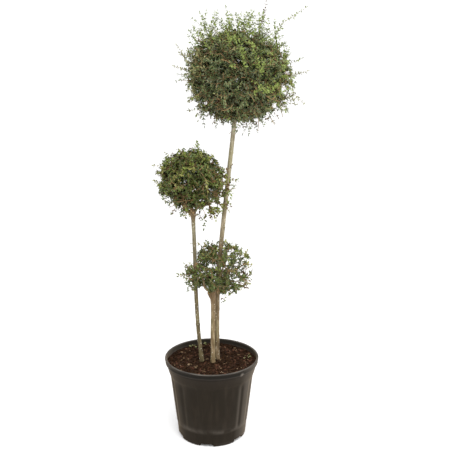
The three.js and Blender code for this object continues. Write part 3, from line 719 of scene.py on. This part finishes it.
def pot_profile():
    """Half the pot's section as radius and height, from the middle of the underside to the inside floor.

    Offsets of a few millimetres soften its corners.
    """
    body_start = (BODY_FOOT_RADIUS + 0.0003, BODY_FOOT + 0.005)
    body_end = (SHOULDER_RADIUS - 0.001, BODY_TOP)
    neck_start = (SHOULDER_RADIUS + 0.0035, SHOULDER_HEIGHT + 0.005)
    neck_end = (BAND_RADIUS - 0.006, BAND_FOOT - 0.008)
    lip = (RIM_RADIUS - LIP_ROUND, POT_HEIGHT - LIP_ROUND)
    return [
        (0, 0),
        (BASE_RADIUS - NOTCH_DEPTH - 0.001, 0),
        *stretch((BASE_RADIUS - NOTCH_DEPTH, 0), (BASE_RADIUS - BASE_ROUND, 0), 4),
        *arc((BASE_RADIUS - BASE_ROUND, BASE_ROUND), BASE_ROUND, -90, 0, 7),
        *stretch((BASE_RADIUS + 0.0008, 0.015), (FOOT_TOP_RADIUS, FOOT_HEIGHT - 0.002), 6),
        (FOOT_TOP_RADIUS + 0.0002, FOOT_HEIGHT),
        (FOOT_TOP_RADIUS + 0.0012, FOOT_HEIGHT + 0.003),
        (BODY_FOOT_RADIUS - 0.001, BODY_FOOT - 0.002),
        (BODY_FOOT_RADIUS - 0.0002, BODY_FOOT + 0.001),
        *stretch(body_start, body_end, 24),
        (SHOULDER_RADIUS, SHOULDER_HEIGHT - 0.003),
        (SHOULDER_RADIUS + 0.0015, SHOULDER_HEIGHT),
        *stretch(neck_start, neck_end, 7),
        (BAND_RADIUS - 0.0036, BAND_FOOT - 0.004),
        (BAND_RADIUS - 0.0028, BAND_FOOT - 0.001),
        (BAND_RADIUS - 0.0007, BAND_FOOT + 0.0005),
        (BAND_RADIUS - 0.0001, BAND_FOOT + 0.002),
        *stretch((BAND_RADIUS, BAND_FOOT + 0.004), (BAND_RADIUS, lip[1] - 0.008), 3),
        (BAND_RADIUS, lip[1] - 0.0045),
        *arc(lip, LIP_ROUND, -50, 180, 13),
        (RIM_RADIUS - 2 * LIP_ROUND, POT_HEIGHT - 0.012),
        (BAND_RADIUS - POT_WALL - 0.002, BAND_FOOT),
        (SHOULDER_RADIUS - POT_WALL, SHOULDER_HEIGHT),
        (BODY_FOOT_RADIUS - POT_WALL, BODY_FOOT + POT_WALL),
        (FOOT_TOP_RADIUS - POT_WALL, FOOT_HEIGHT),
        (BASE_RADIUS - POT_WALL, POT_FLOOR),
        (0, POT_FLOOR),
    ]


def pot_shell():
    """The turned pot, with its flutes pressed in and its drain notches squeezed up from the base."""
    profile = np.array(pot_profile())
    radius, height = (profile[1:-1, i][:, None] for i in (0, 1))
    turn = np.arange(POT_SEGMENTS) * 2 * math.pi / POT_SEGMENTS
    outside = np.arange(1, len(profile) - 1)[:, None] < len(profile) - INSIDE_POINTS
    low = np.clip((height - BODY_FOOT) / FLUTE_END, 0, 1)
    high = np.clip((BODY_TOP - height) / FLUTE_END, 0, 1)
    groove = (0.5 + 0.5 * np.cos(turn * FLUTES)) ** FLUTE_SHARPNESS
    radius = radius - outside * FLUTE_DEPTH * low * high * groove
    spacing = 2 * math.pi / NOTCHES
    off_notch = np.abs((turn - FIRST_NOTCH_TURN + spacing / 2) % spacing - spacing / 2)
    notched = outside & (off_notch < NOTCH_HALF_ANGLE) & (radius > BASE_RADIUS - NOTCH_DEPTH - 0.0005)
    squeezed = np.where(height < 2 * NOTCH_HEIGHT, NOTCH_HEIGHT + height / 2, height)
    height = np.where(notched, squeezed, height)
    points = np.stack([radius * np.cos(turn), radius * np.sin(turn), height], -1).reshape(-1, 3)
    middles = np.array([(0, 0, profile[0, 1]), (0, 0, profile[-1, 1])])
    faces = closed_grid(len(radius), POT_SEGMENTS)
    piece = mesh_piece("pot_shell", np.concatenate([points, middles]), faces, POT_PLASTIC, "pot_plastic")
    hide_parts("pot")


# Soil

def soil_height(x, y):
    """Height of the lumpy soil at a place."""
    lump = sum(weight * noise.noise(Vector((x, y, layer)) / size) for weight, size, layer in SOIL_LUMPS)
    share = np.clip((math.hypot(x, y) - SOIL_DISH_RADIUS) / (SOIL_RADIUS - SOIL_DISH_RADIUS), 0, 1)
    return SOIL_LEVEL + SOIL_RELIEF * lump + SOIL_WALL_RISE * share * share * (3 - 2 * share)


def soil_fill():
    """Soil from wall to wall, with a lumpy top over the space that it fills."""
    wall = POT_WALL + SOIL_GAP
    turn = np.arange(SOIL_SEGMENTS) * 2 * math.pi / SOIL_SEGMENTS
    top = SOIL_RADIUS * np.linspace(0, 1, SOIL_RINGS + 1)[1:]
    places = [(r * math.cos(a), r * math.sin(a)) for r in top for a in turn]
    under = [
        (SHOULDER_RADIUS - wall, SHOULDER_HEIGHT),
        (BODY_FOOT_RADIUS - wall - FLUTE_DEPTH, BODY_FOOT + POT_WALL),
        (FOOT_TOP_RADIUS - wall, FOOT_HEIGHT),
        (BASE_RADIUS - wall, POT_FLOOR + SOIL_GAP),
    ]
    points = [(x, y, soil_height(x, y)) for x, y in places]
    points += [(r * math.cos(a), r * math.sin(a), z) for r, z in under for a in turn]
    points += [(0, 0, soil_height(0, 0)), (0, 0, POT_FLOOR + SOIL_GAP)]
    faces = [part[:, ::-1] for part in closed_grid(SOIL_RINGS + len(under), SOIL_SEGMENTS)]
    piece = mesh_piece("soil_fill", points, faces, SOIL, "potting_soil")
    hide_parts("soil")


def crumbs(feet):
    """Chips and crumbs of bark strewn on the soil, as split blocks with no two alike."""
    rng = np.random.default_rng(5)
    corners = np.array([(x, y, z) for z in (-1, 1) for y in (-1, 1) for x in (-1, 1)]) / 2
    block = np.array([(0, 2, 3, 1), (4, 5, 7, 6), (0, 1, 5, 4), (2, 6, 7, 3), (0, 4, 6, 2), (1, 3, 7, 5)])
    reach = RIM_RADIUS - POT_WALL - CRUMB_WALL_GAP
    for kind, (count, lengths, lift, finish, tones) in CRUMBS.items():
        radius = reach * np.sqrt(rng.random(count))
        turn = rng.random(count) * 2 * math.pi
        places = np.stack([radius * np.cos(turn), radius * np.sin(turn)], -1)
        if kind == "bark_chip_pale":
            places[:len(PALE_CHIP_PLACES)] = PALE_CHIP_PLACES
        off_stem = np.min([np.linalg.norm(places - foot[:2], axis=1) for foot in feet], axis=0)
        places = places[off_stem > CRUMB_STEM_GAP]
        total = len(places)
        length = rng.uniform(*lengths, total)
        width = length * rng.uniform(*CRUMB_WIDTHS, total)
        thickness = length * rng.uniform(*CRUMB_THICKNESSES, total)
        size = np.stack([length, width, thickness], -1)
        shape = corners * rng.uniform(*CRUMB_CORNERS, (total, 8, 3)) * size[:, None]
        heading = rng.random(total) * 2 * math.pi
        tilt = rng.uniform(-CRUMB_TILT, CRUMB_TILT, total)
        along = unit(np.stack([np.cos(heading), np.sin(heading), tilt], -1))
        roll = rng.uniform(-CRUMB_ROLL, CRUMB_ROLL, (total, 3))
        across = unit(np.cross(np.array([0, 0, 1]) + roll, along))
        axes = np.stack([along, across, np.cross(along, across)], 1)
        ground = np.array([soil_height(x, y) for x, y in places])
        middle = np.concatenate([places, (ground + thickness * lift)[:, None]], 1)
        points = middle[:, None] + np.einsum("nij,njk->nik", shape, axes)
        faces = (np.arange(total)[:, None, None] * 8 + block).reshape(-1, 4)
        mesh_piece(kind + "s", points, [faces], composted_bark(finish, *tones), "potting_soil", smooth=False)


# Limbs

def smooth_line(points, step):
    """Evenly spaced points, about a step apart, on a smooth curve through the given ones."""
    knots = np.asarray(points, float)
    knots = np.concatenate([[2 * knots[0] - knots[1]], knots, [2 * knots[-1] - knots[-2]]])
    fine = []
    share = np.linspace(0, 1, CURVE_POINTS, endpoint=False)[:, None]
    for a, b, c, d in zip(knots, knots[1:], knots[2:], knots[3:]):
        bend = (2 * b, c - a, 2 * a - 5 * b + 4 * c - d, 3 * b - a - 3 * c + d)
        fine.append(0.5 * sum(part * share ** power for power, part in enumerate(bend)))
    fine = np.concatenate([*fine, knots[-2:-1]])
    travelled = np.concatenate([[0], np.cumsum(np.linalg.norm(np.diff(fine, axis=0), axis=1))])
    wanted = np.linspace(0, travelled[-1], max(2, round(travelled[-1] / step) + 1))
    return np.stack([np.interp(wanted, travelled, fine[:, i]) for i in range(3)], -1)


def stem_rings(name):
    """Middle and radius of each level ring of a stem's solid, from foot to head."""
    corners = np.array([tuple(v.co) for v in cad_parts[name].data.vertices])
    levels = np.round(corners[:, 2], 5)
    rings = []
    for level in np.unique(levels):
        ring = corners[levels == level]
        middle = (ring.min(0) + ring.max(0)) / 2
        rings.append((*middle, np.linalg.norm(ring - middle, axis=1).max()))
    return np.array(rings)


def stem_limb(name):
    """A stem's middle line and its radius along it, finely spaced."""
    rings = stem_rings(name)
    line = smooth_line(rings[:, :3], BARK_STEP)
    return line, np.interp(line[:, 2], rings[:, 2], rings[:, 3])


def bough_limb(name, stems):
    """A bough's middle line and its radius along it, from inside its stem's head."""
    stem, tip, swing = BOUGHS[name]
    root = stems[stem][0][-1] - (0, 0, BOUGH_START_DEPTH)
    bend = (root + tip) / 2 + swing
    line = smooth_line([root, bend, tip], BARK_STEP)
    return line, np.linspace(BOUGH_ROOT_RADIUS, BOUGH_TIP_RADIUS, len(line))


def bark_relief(point, scars):
    """How far the bark stands out at a point: long low ridges, fine pits, and the scars of old twigs."""
    ridge = noise.noise(Vector((point.x, point.y, point.z * RIDGE_SQUEEZE)) / RIDGE_WIDTH)
    pit = noise.noise(point / PIT_WIDTH)
    near = [scar for scar in scars if abs(scar.z - point.z) < SCAR_REACH]
    swelling = sum(math.exp(-((point - scar).length / SCAR_WIDTH) ** 2) for scar in near)
    return RIDGE_HEIGHT * ridge + PIT_DEPTH * pit + SCAR_HEIGHT * min(swelling, SCAR_LIMIT)


def bark_piece(stem, limbs, nodes, scars):
    """Stem and boughs grown into one skin with the bark's relief."""
    points, faces = joined([tubes(line[None], radii[None], BARK_SIDES) for line, radii in limbs])
    piece = mesh_piece(stem + "_bark", points, faces, BARK[stem], "bark")
    remesh = piece.modifiers.new("one_skin", "REMESH")
    remesh.mode = "VOXEL"
    remesh.voxel_size = BARK_VOXEL
    bpy.context.view_layer.update()
    skin = bpy.data.meshes.new_from_object(piece.evaluated_get(bpy.context.evaluated_depsgraph_get()))
    piece.modifiers.clear()
    normals = [v.normal.copy() for v in skin.vertices]
    for vertex, normal in zip(skin.vertices, normals):
        vertex.co += normal * bark_relief(vertex.co, scars)
    skin.update()
    skin.polygons.foreach_set("use_smooth", np.full(len(skin.polygons), True))
    piece.data = skin
    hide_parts(*nodes)


def twig_scars(line, radii, rng):
    """Places of the scars that opposite twigs left on a stem, each pair square to the one before."""
    scars = []
    turn = rng.random() * math.pi
    place = SCAR_END_STEPS
    while place < len(line) - SCAR_END_STEPS:
        turn += math.pi / 2
        for side in (0, math.pi):
            if rng.random() < SCAR_SHARE:
                out = Vector((math.cos(turn + side), math.sin(turn + side), 0))
                scars.append(Vector(line[place]) + out * radii[place])
        place += int(rng.integers(*SCAR_STEPS))
    return scars


def pruned_stub(name, line, height, heading, length, radius):
    """The limb of a stub on a stem's middle line, whose cut face shows the wood."""
    start = line[np.argmin(np.abs(line[:, 2] - height))]
    heading = unit(np.array(heading))
    stub = start + np.linspace(0, length, STUB_POINTS)[:, None] * heading
    cut = start + np.array([[length - STUB_CUT_DEPTH], [length + STUB_CUT]]) * heading
    face = tubes(cut[None], np.full((1, 2), radius - STUB_CUT), BARK_SIDES)
    mesh_piece(name, *face, CUT_WOOD, "bark", smooth=False)
    return stub, np.full(len(stub), radius)


def limbs_and_bark():
    """All stems and boughs, by name, with their bark made on the way."""
    rng = np.random.default_rng(3)
    stems = {name: stem_limb(name) for name in STEM_NAMES}
    limbs = stems | {name: bough_limb(name, stems) for name in BOUGHS}
    for stem in STEM_NAMES:
        names = [stem] + [name for name, bough in BOUGHS.items() if bough[0] == stem]
        scars = twig_scars(*stems[stem], rng)
        skin = [limbs[name] for name in names]
        for index, stub in enumerate(STUBS.get(stem, ())):
            skin.append(pruned_stub(f"{stem}_cut_face_{index + 1}", stems[stem][0], *stub))
        bark_piece(stem, skin, names, scars)
    return limbs


# Foliage

def spread(count, rng):
    """Even directions round a sphere, each nudged a little."""
    index = np.arange(count)
    height = 1 - (2 * index + 1) / count
    ring = np.sqrt(1 - height ** 2)
    turn = index * GOLDEN_ANGLE
    even = np.stack([ring * np.cos(turn), ring * np.sin(turn), height], -1)
    return unit(even + rng.uniform(-SPREAD_JITTER, SPREAD_JITTER, (count, 3)))


def clipped_reach(ball, directions):
    """How far the clipped outline lies from the ball's centre in each direction."""
    level = np.hypot(directions[:, 0], directions[:, 1]) / ball["side"]
    rises = directions[:, 2] > 0
    upright = np.abs(directions[:, 2]) / np.where(rises, ball["up"], ball["down"])
    wave = np.sin(directions * LUMP_WAVES + ball["seed"] * np.array([1, 2, 3]))
    power = np.where(rises, *ball["squareness"])
    bulge = OUTLINE_LUMP * wave.prod(-1)
    for towards, share in ball["lobes"]:
        bulge += share * np.exp(LOBE_SHARPNESS * (directions @ unit(np.array(towards)) - 1))
    return (level ** power + upright ** power) ** (-1 / power) * (1 + bulge)


def bent_paths(start, heading, end, points):
    """Paths that leave their starts along a heading and curve to their ends."""
    span = np.linalg.norm(end - start, axis=-1, keepdims=True)
    bend = start + heading * span * BEND_SHARE
    share = np.linspace(0, 1, points)[None, :, None]
    start, bend, end = (p[:, None] for p in (start, bend, end))
    return start * (1 - share) ** 2 + bend * 2 * share * (1 - share) + end * share ** 2


def nearest_forks(ends, forks, headings, least):
    """For each end, the fork that reaches it best: near, and already heading that way."""
    chosen = []
    for part in np.array_split(np.arange(len(ends)), max(1, len(ends) // ENDS_AT_ONCE)):
        gap = ends[part, None] - forks[None]
        distance = np.linalg.norm(gap, axis=-1)
        ahead = np.einsum("ijk,jk->ij", gap, headings)
        cost = distance - HEADING_PULL * ahead + TOO_NEAR_PENALTY * (distance < least)
        chosen.append(np.argmin(cost, axis=1))
    return np.concatenate(chosen)


def clear_of(limbs, paths, gap):
    """Which paths stay off the limbs."""
    clear = np.full(len(paths), True)
    low, high = paths[..., 2].min(), paths[..., 2].max()
    for line, radii in limbs:
        near = (line[:, 2] > low - LIMB_SEARCH) & (line[:, 2] < high + LIMB_SEARCH)
        for point, radius in zip(line[near], radii[near]):
            distance = np.linalg.norm(paths - point, axis=-1).min(1)
            clear &= distance > radius + gap
    return clear


def inside_box(paths):
    """Which paths keep to the box of the solids, give or take a leaf."""
    low, high = (np.array(corner) for corner in CAD_BOX)
    return ((paths > low - BOX_MARGIN) & (paths < high + BOX_MARGIN)).all((1, 2))


def airy_kept(ball, ends, order, rng):
    """Which growth of an order stays, where a ball is airy on some sides."""
    local = (ends - np.array(ball["centre"])) / ball["side"]
    kept = np.full(len(ends), True)
    for axis, start, missing, first_order in ball["airy"]:
        inside = np.clip((local @ unit(np.array(axis)) - start) / AIRY_EDGE, 0, 1)
        kept &= (rng.random(len(ends)) >= missing * inside) | (order < first_order)
    return kept


def off_openings(ball, points, limbs, shown):
    """Which points keep out of a ball's openings and off shown stretches of stems, as seen from the front."""
    eye = np.array(CAMERA_PLACE)
    places = [((x, ball["centre"][1], z), radius) for x, z, radius in ball["openings"]]
    for stem, low, high in shown:
        places += [(point, radius) for point, radius in zip(*limbs[stem]) if low < point[2] < high]
    clear = np.full(len(points), True)
    for place, radius in places:
        sight = unit(np.array(place) - eye)
        clear &= np.linalg.norm(np.cross(points - eye, sight), axis=1) > radius
    return clear


def leafy_share(ball, directions, rng):
    """Shares of the reach where leafy twigs end, in tufts, and thinning out evenly towards the outside."""
    inner, outer = ball["leafy_shares"]
    tuft = np.array([noise.noise(Vector(d) * TUFT_WAVES) for d in directions])
    return outer - (outer - inner) * np.cbrt(rng.random(len(directions))) + TUFT_LUMP * tuft


def grow_orders(ball, limbs, rng):
    """Every order of twigs in a ball, each twig leaving the best fork of the order before."""
    centre = np.array(ball["centre"])
    carriers = [limbs[name][0] for name in ball["carriers"]]
    forks = np.array([line[-2] for line in carriers])
    headings = unit(np.array([line[-1] - line[-3] for line in carriers]))
    orders = []
    for index, (count, share) in enumerate((*ball["orders"], (ball["leafy_twigs"], 1))):
        leafy = index == len(ball["orders"])
        directions = spread(count, rng)
        reach = clipped_reach(ball, directions) * share
        if leafy:
            reach = reach * leafy_share(ball, directions, rng) - ball["leaf_length"] * LEAF_ALLOWANCE
        else:
            reach *= 1 + rng.uniform(-1, 1, count) * SHARE_SPREAD
        ends = centre + directions * reach[:, None]
        kept = airy_kept(ball, ends, index, rng)
        ends = ends[kept & off_openings(ball, ends, limbs, ball["shown_stems"])]
        best = nearest_forks(ends, forks, headings, LEAFY_TWIG_LENGTH if leafy else ball["leaf_length"])
        paths = bent_paths(forks[best], headings[best], ends, TWIG_POINTS[index])
        if index > 0:
            paths = paths[clear_of(limbs.values(), paths[:, 1:], LIMB_CLEARANCE) & inside_box(paths)]
        orders.append(paths)
        forks = paths[:, 1:].reshape(-1, 3)
        headings = unit(np.gradient(paths, axis=1)[:, 1:]).reshape(-1, 3)
    return orders


def grow_shoots(ball, bearers, rng):
    """New growth that rises round the top, straggling shoots with side twigs, and upright sprigs."""
    centre = np.array(ball["centre"])
    forks = bearers.reshape(-1, 3)
    headings = unit(np.gradient(bearers, axis=1)).reshape(-1, 3)

    def reached_from_forks(tips):
        best = nearest_forks(tips, forks, headings, LEAFY_TWIG_LENGTH)
        paths = bent_paths(forks[best], headings[best], tips, SHOOT_POINTS)
        return paths[inside_box(paths)]

    count = ball["new_growth"]
    directions = spread(int(count / NEW_GROWTH_ZONE), rng)[:count]
    scatter = rng.uniform(-NEW_GROWTH_SCATTER, NEW_GROWTH_SCATTER, directions.shape)
    lean = unit(directions + NEW_GROWTH_RISE + scatter)
    share = rng.uniform(*NEW_GROWTH_ROOTS, count)
    roots = centre + directions * (clipped_reach(ball, directions) * share)[:, None]
    favour = np.clip(directions @ NEW_GROWTH_FAVOURS, NEW_GROWTH_LEAST, 1)
    lengths = rng.uniform(*ball["new_growth_lengths"], count) * favour
    new_growth = reached_from_forks(roots + lean * lengths[:, None])

    shoots = reached_from_forks(np.array(ball["shoots"]))
    owner = np.repeat(np.arange(len(shoots)), SIDE_SHOOTS)
    joint = rng.integers(*SIDE_SHOOT_JOINTS, len(owner))
    start = shoots[owner, joint]
    along = unit(shoots[owner, joint + 1] - start)
    aside = unit(along + rng.normal(0, SIDE_SHOOT_SCATTER, along.shape))
    ends = start + aside * rng.uniform(*SIDE_SHOOT_LENGTHS, len(owner))[:, None]
    shoots = np.concatenate([shoots, bent_paths(start, along, ends, SHOOT_POINTS)])

    places, tips = np.array(ball["sprigs"]).transpose(1, 0, 2)
    start = forks[nearest_forks(places, forks, headings, SPRIG_ROOT_GAP)]
    sprigs = bent_paths(start, unit(places - start), tips, SHOOT_POINTS)
    return new_growth, shoots, sprigs


def leaves_on(paths, spacing, bare_share, length, centre, rng):
    """Opposite pairs along paths of equal point count, each pair square to the one before, and tip leaves.

    Returns each leaf's root, heading, facing, length and the number of its path.
    """
    along = unit(np.gradient(paths, axis=1))
    steps = np.linalg.norm(np.diff(paths, axis=1), axis=-1)
    travelled = np.concatenate([np.zeros((len(paths), 1)), np.cumsum(steps, axis=1)], axis=1)
    total = travelled[:, -1]
    pairs = np.maximum(1, np.round(total * (1 - bare_share) / spacing)).astype(int)
    owner = np.repeat(np.arange(len(paths)), pairs)
    rank = np.arange(len(owner)) - np.repeat(np.cumsum(pairs) - pairs, pairs)
    share = bare_share + (1 - bare_share) * (rank + rng.uniform(*PAIR_JITTER, len(rank))) / pairs[owner]
    wanted = share * total[owner]
    segment = np.clip((travelled[owner] <= wanted[:, None]).sum(1) - 1, 0, paths.shape[1] - 2)
    within = (wanted - travelled[owner, segment]) / np.maximum(steps[owner, segment], 1e-9)
    roots = paths[owner, segment] + (paths[owner, segment + 1] - paths[owner, segment]) * within[:, None]
    tangent = along[owner, segment]
    tilt = rng.normal(size=(len(paths), 3))[owner]
    aside = unit(np.cross(tangent, tilt))
    square = np.cross(tangent, aside)
    aside = np.where((rank % 2 == 0)[:, None], aside, square)
    angle = LEAF_ANGLE + rng.normal(0, LEAF_ANGLE_SPREAD, (2, len(owner), 1))
    hands = np.array([1, -1])[:, None, None]
    heading = tangent * np.cos(angle) + hands * aside * np.sin(angle)
    pair_lengths = length * (1 - LEAF_SHORTENING * share ** 3) * rng.uniform(*LEAF_LENGTHS, (2, len(owner)))
    tip_lengths = length * TIP_LEAF_SHARE * rng.uniform(*TIP_LEAF_LENGTHS, len(paths))
    roots = np.concatenate([roots, roots, paths[:, -1] - along[:, -1] * TIP_LEAF_DEPTH])
    heading = np.concatenate([heading[0], heading[1], along[:, -1]])
    lengths = np.concatenate([pair_lengths[0], pair_lengths[1], tip_lengths])
    owner = np.concatenate([owner, owner, np.arange(len(paths))])
    facing = LEAF_OUTWARD * unit(roots - centre) + LEAF_UPWARD + rng.normal(0, LEAF_SCATTER, roots.shape)
    return roots, unit(heading), unit(facing), lengths, owner


def leaf_blades(roots, heading, facing, lengths):
    """Leaf meshes of eight triangles: a pointed oval, folded along its midrib and curling down to its tip."""
    across = unit(np.cross(facing, heading))
    normal = np.cross(heading, across)
    half = LEAF_WIDTH_SHARE / 2
    outline = np.array([
        (0, 0, 0),
        (0.3, 0.92 * half, LEAF_FOLD * half),
        (0.3, -0.92 * half, LEAF_FOLD * half),
        (0.34, 0, -0.2 * LEAF_FOLD),
        (0.68, 0.78 * half, LEAF_FOLD * half),
        (0.68, -0.78 * half, LEAF_FOLD * half),
        (0.7, 0, -0.25 * LEAF_FOLD),
        (1, 0, 0),
    ])
    outline[:, 2] -= LEAF_CURL * outline[:, 0] ** 2
    axes = np.stack([heading, across, normal], 1)
    points = roots[:, None] + np.einsum("ij,njk->nik", outline, axes) * lengths[:, None, None]
    first = np.arange(len(roots))[:, None, None] * len(outline)
    ends = np.array([(0, 3, 1), (0, 2, 3), (4, 6, 7), (6, 5, 7)])
    sides = np.array([(1, 3, 6, 4), (3, 2, 5, 6)])
    return points.reshape(-1, 3), [(first + ends).reshape(-1, 3), (first + sides).reshape(-1, 4)]


def deal_colours(ball, places, fresh_share, dry_share, rng):
    """A colour for each twig's leaves: fresh on new growth and round the top, with painted shade inside,
    painted light towards the top, the right and the outline as seen from the front, and dry ones below.
    """
    local = places - np.array(ball["centre"])
    height = local[:, 2] / ball["up"]
    depth = np.linalg.norm(local, axis=1) / clipped_reach(ball, unit(local))
    patch = np.array([noise.noise(Vector(p) / PATCH_SIZE) for p in local])
    rise = np.clip((height - ball["fresh_from"]) / (FRESH_TOP - ball["fresh_from"]), 0, 1)
    right = np.clip(local[:, 0] / ball["side"] - RIGHT_LIGHT_FROM, 0, 1)
    edge = np.clip(np.hypot(local[:, 0], local[:, 2]) / ball["side"] - EDGE_LIGHT_FROM, 0, EDGE_LIGHT_MOST)
    # A random tone, plus painted light towards the top, the right and the outline, and painted shade inside
    shade = rng.normal(SHADE_MEAN, SHADE_SPREAD, len(places)) + PATCH_SHADE * patch + HEIGHT_PAINTED_LIGHT * height
    shade = shade + RIGHT_PAINTED_LIGHT * right + EDGE_PAINTED_LIGHT * edge + DEPTH_PAINTED_SHADE * (depth - DEPTH_MEAN)
    colour = np.digitize(shade, SHADE_STEPS)
    deal = rng.random(len(places))
    # More fresh leaves on the sunny right, partly as painted light
    fresh = fresh_share + FRESH_RISE * rise + ball["sunny"] * right * (patch > 0)
    is_fresh = deal < fresh * np.clip((depth - FRESH_DEPTH) / FRESH_DEPTH_SPAN, 0, 1)
    is_dry = deal > 1 - dry_share * (1 + DRY_BELOW * np.clip(-height, 0, 1))
    colour = np.where(is_fresh, LEAF_CLASSES.index("fresh"), colour)
    return np.where(is_dry, LEAF_CLASSES.index("dry"), colour)


def wood_piece(name, kinds, material):
    """Twigs of several kinds in one piece. A kind has paths, radii at root and tip, and a number of sides."""
    parts = []
    for paths, radii, sides in kinds:
        taper = np.broadcast_to(np.linspace(*radii, paths.shape[1]) * MM, paths.shape[:2])
        parts.append(tubes(paths, taper, sides))
    return mesh_piece(name, *joined(parts), material, "foliage")


def foliage(name, limbs):
    """One ball: its twigs, and its leaves in a piece for each colour."""
    ball = BALLS[name]
    rng = np.random.default_rng(ball["growth_seed"])
    centre = np.array(ball["centre"])
    orders = grow_orders(ball, limbs, rng)
    new_growth, shoots, sprigs = grow_shoots(ball, orders[-2], rng)
    low = orders[-1][:, -1, 2] < centre[2]
    is_bare = rng.random(len(low)) < ball["bare"] * (1 + low)
    leafy = orders[-1][~is_bare]

    # Leaf-bearing paths, with the spacing of pairs, the share without leaves, the leaves' length, and the
    # shares of fresh and dry leaves
    length, dry = ball["leaf_length"], ball["dry"]
    oldest, older = (length * scale for scale in ball["inner_leaves"])
    sets = [
        (orders[-3], ball["inner_spacing"], 0.2, oldest, 0, dry),
        (orders[-2], 1.2 * PAIR_SPACING, 0.3, older, 0, dry),
        (leafy, PAIR_SPACING, 0.15, length, 0.03, dry),
        (new_growth, SHOOT_PAIR_SPACING, 0.25, length, 0.5, 0),
        (shoots, SHOOT_PAIR_SPACING, 0.3, length, 0.15, dry),
        (sprigs, SPRIG_PAIR_SPACING, 0.35, 1.15 * length, 1, 0),
    ]
    shown = ball["shown_stems"] + ball["shown_forks"]
    leaves = {colour: [] for colour in LEAF_CLASSES}
    for paths, *habit, fresh_share, dry_share in sets:
        roots, heading, facing, lengths, owner = leaves_on(paths, *habit, centre, rng)
        colour = deal_colours(ball, paths[:, -2], fresh_share, dry_share, rng)[owner]
        middle = roots + heading * lengths[:, None] / 2
        ends = np.stack([middle, roots + heading * lengths[:, None]], 1)
        clear = clear_of(limbs.values(), ends, LIMB_CLEARANCE) & off_openings(ball, middle, limbs, shown)
        for index, kind in enumerate(LEAF_CLASSES):
            kept = clear & (colour == index)
            leaves[kind].append(leaf_blades(roots[kept], heading[kept], facing[kept], lengths[kept]))
    tones = LEAVES[ball["leaf_tones"]]
    pieces = []
    for kind, parts in leaves.items():
        pieces.append(mesh_piece(f"{name}_leaves_{kind}", *joined(parts), tones[kind], "foliage"))

    grown = list(zip((*orders[:-1], leafy), TWIG_RADII, TWIG_SIDES))
    bare = (orders[-1][is_bare], BARE_TWIG_RADII, BARE_TWIG_SIDES)
    brown = [*grown[OLD_ORDERS:], bare, (shoots, SHOOT_RADII, SHOOT_SIDES)]
    green = [(new_growth, SHOOT_RADII, SHOOT_SIDES), (sprigs, SHOOT_RADII, SHOOT_SIDES)]
    pieces.append(wood_piece(name + "_boughs", grown[:OLD_ORDERS], OLD_WOOD))
    pieces.append(wood_piece(name + "_twigs", brown, TWIG_BROWN))
    pieces.append(wood_piece(name + "_shoots", green, TWIG_GREEN))
    for piece in pieces:
        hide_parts(name)


def fallen_leaves():
    """A few of the plant's leaves that lie on the soil, in small heaps."""
    rng = np.random.default_rng(8)
    heaps = np.repeat(np.array(FALLEN_LEAF_HEAPS), FALLEN_LEAVES_PER_HEAP, axis=0)
    count = len(heaps)
    places = heaps[:, :2] + rng.normal(0, FALLEN_LEAF_SCATTER, (count, 2)) * heaps[:, 2:]
    heights = [soil_height(x, y) + rng.uniform(*FALLEN_LEAF_HEIGHTS) for x, y in places]
    level = unit(rng.normal(size=(count, 2)))
    heading = np.concatenate([level, rng.uniform(*FALLEN_LEAF_TILTS, (count, 1))], 1)
    facing = unit(rng.normal(0, FALLEN_LEAF_ROLL, (count, 3)) + FALLEN_LEAF_FACING)
    roots = np.concatenate([places, np.array(heights)[:, None]], 1)
    blades = leaf_blades(roots, unit(heading), facing, np.full(count, FALLEN_LEAF_LENGTH))
    mesh_piece("fallen_leaves", *blades, LEAVES["young"]["olive"], "foliage")


# Studio

def pale_floor():
    """A wide level floor under the pot."""
    mesh = bpy.data.meshes.new("studio_floor")
    corners = [(FLOOR_REACH * x, FLOOR_REACH * y, 0) for x, y in ((-1, -1), (1, -1), (1, 1), (-1, 1))]
    mesh.from_pydata(corners, [], [(0, 1, 2, 3)])
    mesh.materials.append(matt_white_sweep())
    floor = bpy.data.objects.new("studio_floor", mesh)
    bpy.context.scene.collection.objects.link(floor)


def softbox(name, place, target, width, watts):
    """A round soft light that faces its target."""
    light = bpy.data.lights.new(name, "AREA")
    light.shape = "DISK"
    light.size = width
    light.energy = watts
    lamp = bpy.data.objects.new(name, light)
    lamp.location = place
    lamp.rotation_euler = (Vector(target) - Vector(place)).to_track_quat("-Z", "Y").to_euler()
    bpy.context.scene.collection.objects.link(lamp)


def studio():
    """White surroundings, the softboxes and the camera."""
    scene = bpy.context.scene
    world = bpy.data.worlds.new("studio_world")
    world.use_nodes = True
    surroundings = world.node_tree.nodes["Background"]
    plug(world.node_tree, surroundings, Color=(1, 1, 1, 1), Strength=WORLD_STRENGTH)
    scene.world = world
    scene.view_settings.view_transform = "Standard"
    for name, settings in SOFTBOXES.items():
        softbox(name, *settings)
    camera = bpy.data.cameras.new("camera")
    camera.lens = LENS_MM
    camera.sensor_width = SENSOR_MM
    viewer = bpy.data.objects.new("camera", camera)
    viewer.location = CAMERA_PLACE
    viewer.rotation_euler = (math.pi / 2 - CAMERA_DOWN, 0, -CAMERA_RIGHT)
    scene.collection.objects.link(viewer)
    scene.camera = viewer


studio()
pale_floor()
pot_shell()
soil_fill()
all_limbs = limbs_and_bark()
crumbs([all_limbs[name][0][0] for name in STEM_NAMES])
for ball_name in BALLS:
    foliage(ball_name, all_limbs)
fallen_leaves()
